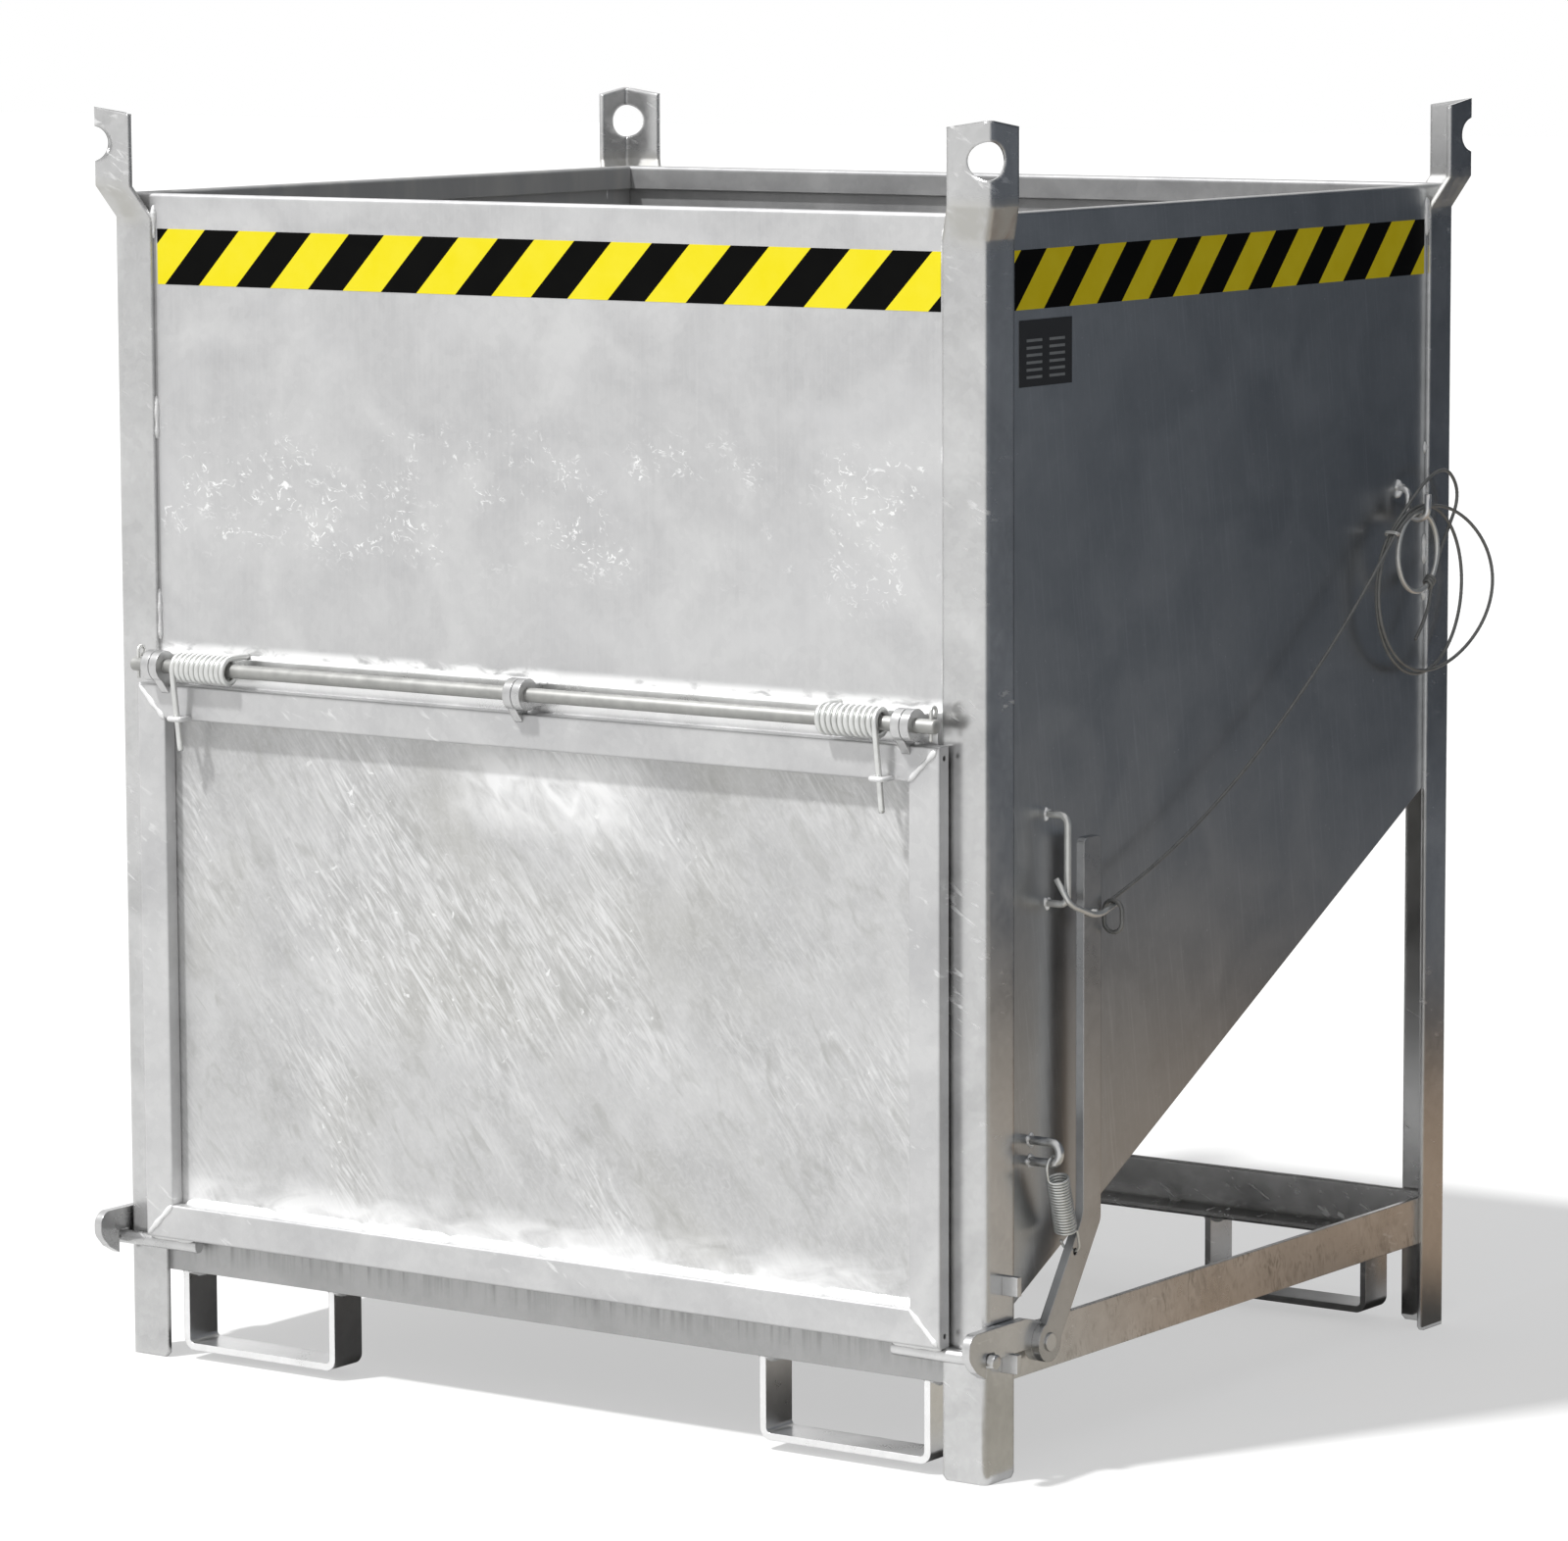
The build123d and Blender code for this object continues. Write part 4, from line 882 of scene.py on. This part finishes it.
def turned_bar(start, end, y, z, radius, nose):
    """A round bar along X, its ends rounded off over a nose length where its radius is r sqrt(1 - t^2)."""
    t = np.linspace(0, 1, 7)
    profile = radius * np.sqrt(np.clip(1 - t**2, 0.0004, 1))
    reach = nose * t
    x = np.concatenate([start + nose - reach[::-1], end - nose + reach])
    size = np.concatenate([profile[::-1], profile])
    line = np.stack([x, np.full(len(x), y), np.full(len(x), z)], axis=1)
    return tube(line, size[:, None], sides=28)


def lock_hook_shape():
    """The lock hook: a bent rod, and the pivot with its head behind the lever."""
    pivot = np.array([lock_x, lever_y, lock_z])
    corners = [pivot + offset for offset in (lock_rear, lock_drop, lock_front, lock_tip)]
    rod = tube(bent_bar(corners, lock_bends, 14), lock_rod / 2, sides=16)
    front = (hook_outer - lock_head_gap, lever_y, lock_z)
    back = (hook_outer - lock_head_gap - lock_head_thickness, lever_y, lock_z)
    pin = tube([back, pivot], lock_pivot / 2, sides=20)
    head = tube([back, front], lock_head_radius, sides=24)
    return join(rod, pin, head)


def link_shape():
    """The oval link that hangs on the lock hook's rear end, two half rings and two straights."""
    half = link_straight / 2
    turn = np.radians(np.linspace(0, 180, 18))
    top = np.stack([np.cos(turn) * link_half_width, 0 * turn, np.sin(turn) * link_half_width + half], axis=1)
    return tube(np.vstack([top, -top]) + link_middle, link_wire / 2, sides=12, closed=True)


def ring_hook_shape():
    """A round bar out of the panel, down, and round to a J."""
    y = ring_hook_y
    inner = ring_x - ring_hook_radius
    middle = ring_hook_low + ring_hook_radius
    corners = [(panel_x, y, ring_hook_root), (inner, y, ring_hook_root), (inner, y, middle)]
    stem = bent_bar(corners, [ring_hook_bend])
    bow = arc((ring_x, y, middle), (inner, y, middle), (0, -1, 0), 180, 20)
    tip = (ring_x + ring_hook_radius, y, ring_hook_tip)
    return tube(np.vstack([stem[:-1], bow, tip]), ring_hook_bar / 2, sides=18)


def build_bars():
    """Smooth round bars in place of the flat-sided solids."""
    rod = turned_bar(-rod_half, rod_half, hinge_y, hinge_z, rod_radius, rod_nose)
    latch_pin = turned_bar(*latch_pin_ends, latch_y, latch_z, latch_pin_radius, latch_pin_nose)
    for name, shape, finish, slot, body in (
        ("spring_staple", staple_shape(**spring_staple), bar_steel, "galvanised_steel", "frame"),
        ("keeper_staple", staple_shape(**keeper_staple), bright_steel, "galvanised_steel", "frame"),
        ("rod_split_pins", both_sides(split_pin_shape()), bright_steel, "bright_steel", "frame"),
        # the spring rests take the weld finish, whose near-white is partly painted glare
        ("spring_rests", both_sides(spring_rest_shape()), weld_steel, "galvanised_steel", "flap"),
        ("ring_hook", ring_hook_shape(), bar_steel, "galvanised_steel", "frame"),
        ("hinge_rod", rod, rod_steel, "bright_steel", "frame"),
        ("latch_pins", both_sides(latch_pin), bar_steel, "galvanised_steel", "flap"),
        ("lock_hook", lock_hook_shape(), bright_steel, "bright_steel", "lock_hook"),
        ("rope_link", link_shape(), rope_steel, "bright_steel", "lock_hook"),
    ):
        piece = make_piece(f"{name}_round", *shape, finish, slot, body)
        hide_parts(name)


# Tape and plate


def slab(low, high):
    """The eight corners and six outward faces of a flat block between two corners."""
    corners = np.array([[(low, high)[(i >> k) & 1][k] for k in range(3)] for i in range(8)], float)
    faces = [[0, 2, 3, 1], [4, 5, 7, 6], [0, 1, 5, 4], [2, 6, 7, 3], [0, 4, 6, 2], [1, 3, 7, 5]]
    return corners, faces


def build_tape():
    """Hazard tape across the front and the right side."""
    low, high = tape_low, tape_high
    front = slab((-tape_front_half, panel_y - tape_thickness, low), (tape_front_half, panel_y, high))
    side = slab((panel_x, -tape_side_half, low), (panel_x + tape_thickness, tape_side_half, high))
    make_piece("hazard_tape_front", *front, tape_front, "galvanised_steel", "frame", smooth=False)
    make_piece("hazard_tape_right", *side, tape_side, "galvanised_steel", "frame", smooth=False)


def build_plate():
    """A bare black plate on the right side with blank pale fields in two columns."""
    y, z = plate_low
    width, height = plate_size
    face = panel_x + plate_thickness
    back = slab((panel_x, y, z), (face, y + width, z + height))
    make_piece("blank_plate", *back, plate_black, "galvanised_steel", "frame", smooth=False)
    fields = []
    for row in range(field_rows):
        bottom = z + height * (field_first_row + field_row_step * row)
        for left, right in field_columns:
            low = (face, y + width * left, bottom)
            high = (face + field_thickness, y + width * right, bottom + field_height)
            fields.append(slab(low, high))
    make_piece("blank_plate_fields", *join(*fields), plate_pale, "galvanised_steel", "frame", smooth=False)


# Welds


def weld_bead(seed, start, end, outward, width, height, unrest=0.16):
    """A weld bead between two points: a half oval of this width and height along the run, rippled, its edges
    wandering, and tapered to nothing over its last few millimetres."""
    start = np.asarray(start, float)
    run = np.asarray(end, float) - start
    length = np.linalg.norm(run)
    outward = unit(outward)
    across = np.cross(unit(run), outward)
    place = np.linspace(0, 1, max(8, int(length / 1.5)))
    along = place * length
    wander = np.sin(along / 5.3 + seed) + 0.7 * np.sin(along / 2.9 + 2.3 * seed)
    wander = wander + 0.5 * np.sin(along / 11 + seed)
    ripple = 1 + 0.12 * np.sin(2 * math.pi * along / weld_ripple)
    taper = np.sqrt(np.clip(np.minimum(along, length - along) / width, 0.02, 1))
    reach = width / 2 * taper * (1 + unrest * wander)
    rise = height * taper * ripple * (1 + 0.6 * unrest * np.roll(wander, 3))
    turn = np.radians(np.linspace(-12, 192, 11))
    middle = start + place[:, None] * run
    sideways = (reach[:, None] * np.cos(turn))[:, :, None] * across
    upward = (rise[:, None] * np.sin(turn))[:, :, None] * outward
    points = (middle[:, None, :] + sideways + upward).reshape(-1, 3)
    return points, capped_faces(len(place), len(turn))


def weld_collar(seed, z, y, radius, size):
    """A lumpy weld round the foot of a bar on the right panel: a ring whose thickness wanders."""
    outward = np.array([1.0, 0.0, 0.0])
    side = unit(np.cross(outward, (0.3, 0.5, 0.8)))
    up = np.cross(outward, side)
    round_bar = np.arange(40) * math.pi / 20
    turn = np.arange(12) * math.pi / 6
    lump = size * (1 + 0.4 * np.sin(3 * round_bar + seed) + 0.3 * np.sin(5 * round_bar + 2 * seed))
    spoke = np.cos(round_bar)[:, None] * side + np.sin(round_bar)[:, None] * up
    reach = radius + lump[:, None] * np.cos(turn)
    points = np.array([panel_x, y, z]) + reach[:, :, None] * spoke[:, None, :]
    points = points + (lump[:, None] * 0.8 * np.sin(turn))[:, :, None] * outward
    return points.reshape(-1, 3), grid_faces(40, 12, wrap_rows=True)


def seam_runs():
    """Runs down the edges of the posts on the front and on both sides."""
    runs = []
    for x, inward, heights in ((-post_edge_x, 1, front_left_seams), (post_edge_x, -1, front_right_seams)):
        runs += [((x, panel_y, low), (x, panel_y, high), (inward, -1, 0), *seam_weld) for low, high in heights]
    for y, inward, heights in ((post_edge_y, -1, side_rear_seams), (-post_edge_y, 1, side_front_seams)):
        for x in (panel_x, -panel_x):
            away = (math.copysign(1, x), inward, 0)
            runs += [((x, y, low), (x, y, high), away, *seam_weld) for low, high in heights]
    return runs


def hinge_runs():
    """Runs along the top of the hinge bar, and a heap behind each eye."""
    runs = []
    z = hinge_bar_top
    for left in hinge_weld_starts:
        runs.append(((left, panel_y, z), (left + hinge_weld_run, panel_y, z), (0, -1, 1), *hinge_weld))
    for x in body_eyes:
        start = (x - eye_weld_half, hinge_bar_face, z)
        end = (x + eye_weld_half, hinge_bar_face, z)
        runs.append((start, end, (0, -0.6, 1), *eye_weld))
    return runs


def fork_runs():
    """Runs on both faces of each leg of the fork loops, under the base frame."""
    runs = []
    ends = (panel_y, -panel_y - sill_depth)
    for centre, side, face, y in itertools.product((-fork_centre, fork_centre), (-1, 1), (-1, 1), ends):
        x = centre + side * (fork_half - fork_bar / 2) + face * fork_bar / 2
        runs.append(((x, y, sill_bottom), (x, y + sill_depth, sill_bottom), (face, 0, -1), *fork_weld))
    return runs


def flap_runs():
    """Runs on the mitres of the flap's tubes, along the latch pins and along the foot of the sheet."""
    runs = []
    pin_y = latch_y - pin_weld_ahead
    pin_z = flap_bottom - pin_weld_below
    for side in (-1, 1):
        for edge, inward in ((flap_top, -1), (flap_bottom, 1)):
            outer_corner = (side * (flap_half_width - mitre_inset), flap_face, edge + inward * mitre_inset)
            inner_corner = (side * (flap_half_width - tube_face), flap_face, edge + inward * tube_face)
            runs.append((outer_corner, inner_corner, (0, -1, 0), *mitre_weld))
        start, end = [(side * x, pin_y, pin_z) for x in pin_weld_ends]
        runs.append((start, end, (0, -1, -0.6), *pin_weld))
    z = flap_bottom + tube_face
    for left in sheet_weld_starts:
        start = (left, flap_back, z)
        end = (left + sheet_weld_run, flap_back, z)
        runs.append((start, end, (0, -1, 1), *sheet_weld, sheet_weld_unrest))
    return runs


def build_welds():
    """Welds under the zinc, on the body that carries them; each is unlike the next by its seed."""
    seeds = itertools.count(1)
    welds = [weld_bead(next(seeds), *run) for run in seam_runs() + hinge_runs() + fork_runs()]
    for staple in (spring_staple, keeper_staple):
        for z in (staple["low"], staple["high"]):
            welds.append(weld_collar(next(seeds), z, staple["y"], staple["bar"] / 2, staple_weld))
    foot = (ring_hook_root, ring_hook_y, ring_hook_bar / 2, ring_hook_weld)
    welds.append(weld_collar(ring_hook_weld_seed, *foot))
    make_piece("container_welds", *join(*welds), weld_steel, "galvanised_steel", "frame")
    flap_welds = [weld_bead(next(seeds), *run) for run in flap_runs()]
    make_piece("flap_welds", *join(*flap_welds), weld_steel, "galvanised_steel", "flap")


# Light, floor and camera


def seen_rays(tree):
    """One for the rays that look at the background: from the camera, off metal and through glass."""
    rays = add(tree, "LightPath").outputs
    seen = rays["Is Camera Ray"]
    for kind in ("Is Glossy Ray", "Is Transmission Ray"):
        seen = add(tree, "Math", {0: seen, 1: rays[kind]}, operation="MAXIMUM")
    return seen


def stage_piece(name, points, faces, material, hidden_from=()):
    """A piece of the stage, hidden from some kinds of ray; points are in metres."""
    piece = new_object(name, points, faces, material)
    for rays in hidden_from:
        setattr(piece, f"visible_{rays}", False)


def rectangle(x, y, z):
    """The corners and the one face of a level rectangle between two places along X and along Y."""
    return [(x[0], y[0], z), (x[1], y[0], z), (x[1], y[1], z), (x[0], y[1], z)], [(0, 1, 2, 3)]


def glowing_material(name, code="#FFFFFF"):
    """A material that only glows, with its nodes and the one that glows."""
    material, tree = new_material(name)
    glow = add(tree, "Emission", {"Color": colour(code), "Strength": 1.0})
    add(tree, "OutputMaterial", {"Surface": glow})
    material.cycles.emission_sampling = "NONE"
    return material, tree, glow


def build_floor():
    """A wide pale floor that keeps the object's shadow."""
    floor = Finish("pale_floor")
    tree = floor.tree
    seen = seen_rays(tree)
    # grey to the light it bounces onto the container, as painted shade of the ground; pale where seen
    paint = add(tree, "Mix", {0: seen, 6: colour("#9A9A98"), 7: colour("#F6F6F5")}, data_type="RGBA")
    floor.give({"Base Color": paint, "Roughness": 0.9})
    white = add(tree, "Emission", {"Color": colour("#FFFFFF"), "Strength": 1.0})
    both = add(tree, "MixShader", {0: overlap(tree, seen, 0.5), 1: floor.shader, 2: white})
    connect(tree, tree.nodes["Material Output"], {"Surface": both})
    floor.material.cycles.emission_sampling = "NONE"
    reach = (-floor_half, floor_half)
    stage_piece("floor", *rectangle(reach, reach, 0), floor.material)


def card_finish():
    """The dark cards' glow: slate above, darker towards the rear; the ground is grey where the front of the
    right side mirrors it, tan where the rear does and dark grey elsewhere, as painted shade on the ground."""
    material, tree, glow = glowing_material("card_glow")
    spot = add(tree, "TexCoord").outputs["Object"]
    x, y, z = add(tree, "SeparateXYZ", {"Vector": spot}).outputs
    forward = add(tree, "MapRange", {"Value": x, "From Min": 1.7, "From Max": 2.8})
    slate = add(tree, "Mix", {0: forward, 6: colour("#454A51"), 7: colour("#7A7F86")}, data_type="RGBA")
    low = overlap(tree, within(tree, x, 1.3, 9.0, 0.6), within(tree, z, -1.0, 0.22, 0.3))
    wall = add(tree, "Mix", {0: low, 6: slate, 7: colour("#747980")}, data_type="RGBA")
    out = add(tree, "Math", {0: x, 1: 1 / 0.7, 2: -0.6 / 0.7}, operation="MULTIPLY_ADD")
    ahead = add(tree, "Math", {0: out, 1: y}, operation="SUBTRACT")
    front = add(tree, "MapRange", {"Value": ahead, "From Min": 0.05, "From Max": 0.4})
    sand = add(tree, "Mix", {0: front, 6: colour("#BAA48E"), 7: colour("#D6D1C8")}, data_type="RGBA")
    beside = add(tree, "MapRange", {"Value": ahead, "From Min": -0.4, "From Max": -0.1})
    near_sand = overlap(tree, beside, within(tree, y, -3.0, 1.5, 0.5))
    far_sand = within(tree, y, 0.9, 1.8, 0.4)
    bare = add(tree, "Math", {0: far_sand, 1: near_sand}, operation="MAXIMUM")
    # dark grey ground: painted shade
    ground = add(tree, "Mix", {0: bare, 6: colour("#5A5855"), 7: sand}, data_type="RGBA")
    foot = within(tree, z, -1.0, 0.006, 0.05)
    connect(tree, glow, {"Color": add(tree, "Mix", {0: foot, 6: wall, 7: ground}, data_type="RGBA")})
    return material


def wall_card(shares, heights):
    """Points c + s(p - c) along the foot p of a wall round the object's right and rear, for rows of share s
    and height."""
    foot = np.array(wall_foot)
    centre = np.array(wall_centre)
    shares = np.asarray(shares)
    level = centre + shares[None, :, None] * (foot[:, None, :] - centre)
    rows = np.broadcast_to(heights, level.shape[:2])
    points = np.concatenate([level, rows[:, :, None]], axis=-1)
    faces = [(2 * i, 2 * i + 2, 2 * i + 3, 2 * i + 1) for i in range(len(foot) - 1)]
    return points.reshape(-1, 3), faces


def build_cards():
    """A wall that darkens the right side, a tan ground before it, a grey one by the front foot, a dark one
    under the container and a low dark card behind it, both painted shade; all but the wall are seen by
    reflections alone."""
    wall_hidden = ["camera", "transmission", "volume_scatter", "shadow"]
    hidden = wall_hidden + ["diffuse"]
    finish = card_finish()
    near = glowing_material("near_ground_glow", "#C5C0B4")[0]
    shade = glowing_material("shade_glow", "#262524")[0]
    low = ground_card_height
    stage_piece("dark_wall", *wall_card([1.0, 1.0], [low, wall_height]), finish, wall_hidden)
    stage_piece("tan_ground", *wall_card([ground_inner_share, 1.0], [low, low]), finish, hidden)
    stage_piece("near_ground", *rectangle(**near_card), near, hidden)
    stage_piece("shaded_ground", *rectangle(**shade_card), shade, hidden)
    stage_piece("rear_card", rear_card, [(0, 1, 2, 3)], shade, hidden)


def build_light():
    """A white world to look at and a softer one to light with, and a sun from high on the front left."""
    scene = bpy.context.scene
    scene.view_settings.view_transform = "Standard"
    world = bpy.data.worlds.new("white_room")
    scene.world = world
    world.use_nodes = True
    tree = world.node_tree
    tree.nodes.clear()
    strength = add(tree, "MapRange", {"Value": seen_rays(tree), "To Min": sky_light, "To Max": 1.0})
    sky = add(tree, "Background", {"Color": colour("#FFFFFF"), "Strength": strength})
    add(tree, "OutputWorld", {"Surface": sky})
    sun = bpy.data.lights.new("sun", "SUN")
    sun.energy = sun_strength
    sun.angle = math.radians(sun_width)
    lamp = bpy.data.objects.new("sun", sun)
    scene.collection.objects.link(lamp)
    lamp.matrix_world = facing(unit(towards_sun), (0, 0, 0))


def facing(back, place):
    """A lamp's or camera's place, looking against the direction back, level with the floor."""
    right = unit(np.cross((0, 0, 1), back))
    up = np.cross(back, right)
    rows = [(right[k], up[k], back[k], place[k]) for k in range(3)]
    return Matrix([*rows, (0, 0, 0, 1)])


def build_camera():
    """The photograph's view: an angle round and above the container, and a slight roll."""
    level = math.cos(camera_above)
    back = [math.sin(camera_around) * level, -math.cos(camera_around) * level, math.sin(camera_above)]
    camera = bpy.data.objects.new("camera", bpy.data.cameras.new("camera"))
    camera.data.sensor_width = 36.0
    camera.data.lens = camera_lens
    camera.data.clip_end = 200.0
    bpy.context.scene.collection.objects.link(camera)
    camera.matrix_world = facing(back, camera_place) @ Matrix.Rotation(camera_roll, 4, "Z")
    bpy.context.scene.camera = camera


def own_finishes():
    """The solids whose finish isn't that of their slot."""
    sides = ("right", "left")
    corners = [f"{end}_{side}" for end in ("front", "rear") for side in sides]
    own = {
        "front_panel": front_steel,
        "rear_panel": sheet_steel,
        "chute_floor": chute_steel,
        "flap_sheet": flap_steel,
        "front_sill": sill_steel,
        "rear_crossbar": post_steel,
        # painted highlight on the hinge bar, painted shade on the release lever
        "hinge_bar": painted_highlight_steel,
        "release_lever": painted_shade_steel,
    }
    for side in sides:
        own[f"{side}_panel"] = side_steel
        own[f"{side}_side_bar"] = stained_steel
        # painted highlight on the front fork loops, painted shade on the rear ones
        own[f"fork_loop_front_{side}"] = painted_highlight_steel
        own[f"fork_loop_rear_{side}"] = painted_shade_steel
    own.update({f"post_{corner}": post_steel for corner in corners})
    own.update({f"flap_{place}_tube": tube_steel for place in ("top", "bottom", *sides)})
    return own


def dress_solids():
    """Every solid that stays gets its own finish, or that of its slot."""
    slots = {
        "galvanised_steel": bar_steel,
        "bright_steel": bright_steel,
        "spring_steel": spring_steel,
        "wire_rope": rope_steel,
    }
    own = own_finishes()
    for subpart in frame["record"]["subparts"]:
        name = subpart["node"]
        node = frame["nodes"][name]
        node.data.materials.clear()
        node.data.materials.append(own.get(name, slots[subpart["material_slot"]]))


build_rope()
build_torsion_springs()
build_tension_spring()
build_bars()
build_tape()
build_plate()
build_welds()
build_floor()
build_cards()
build_light()
build_camera()
dress_solids()
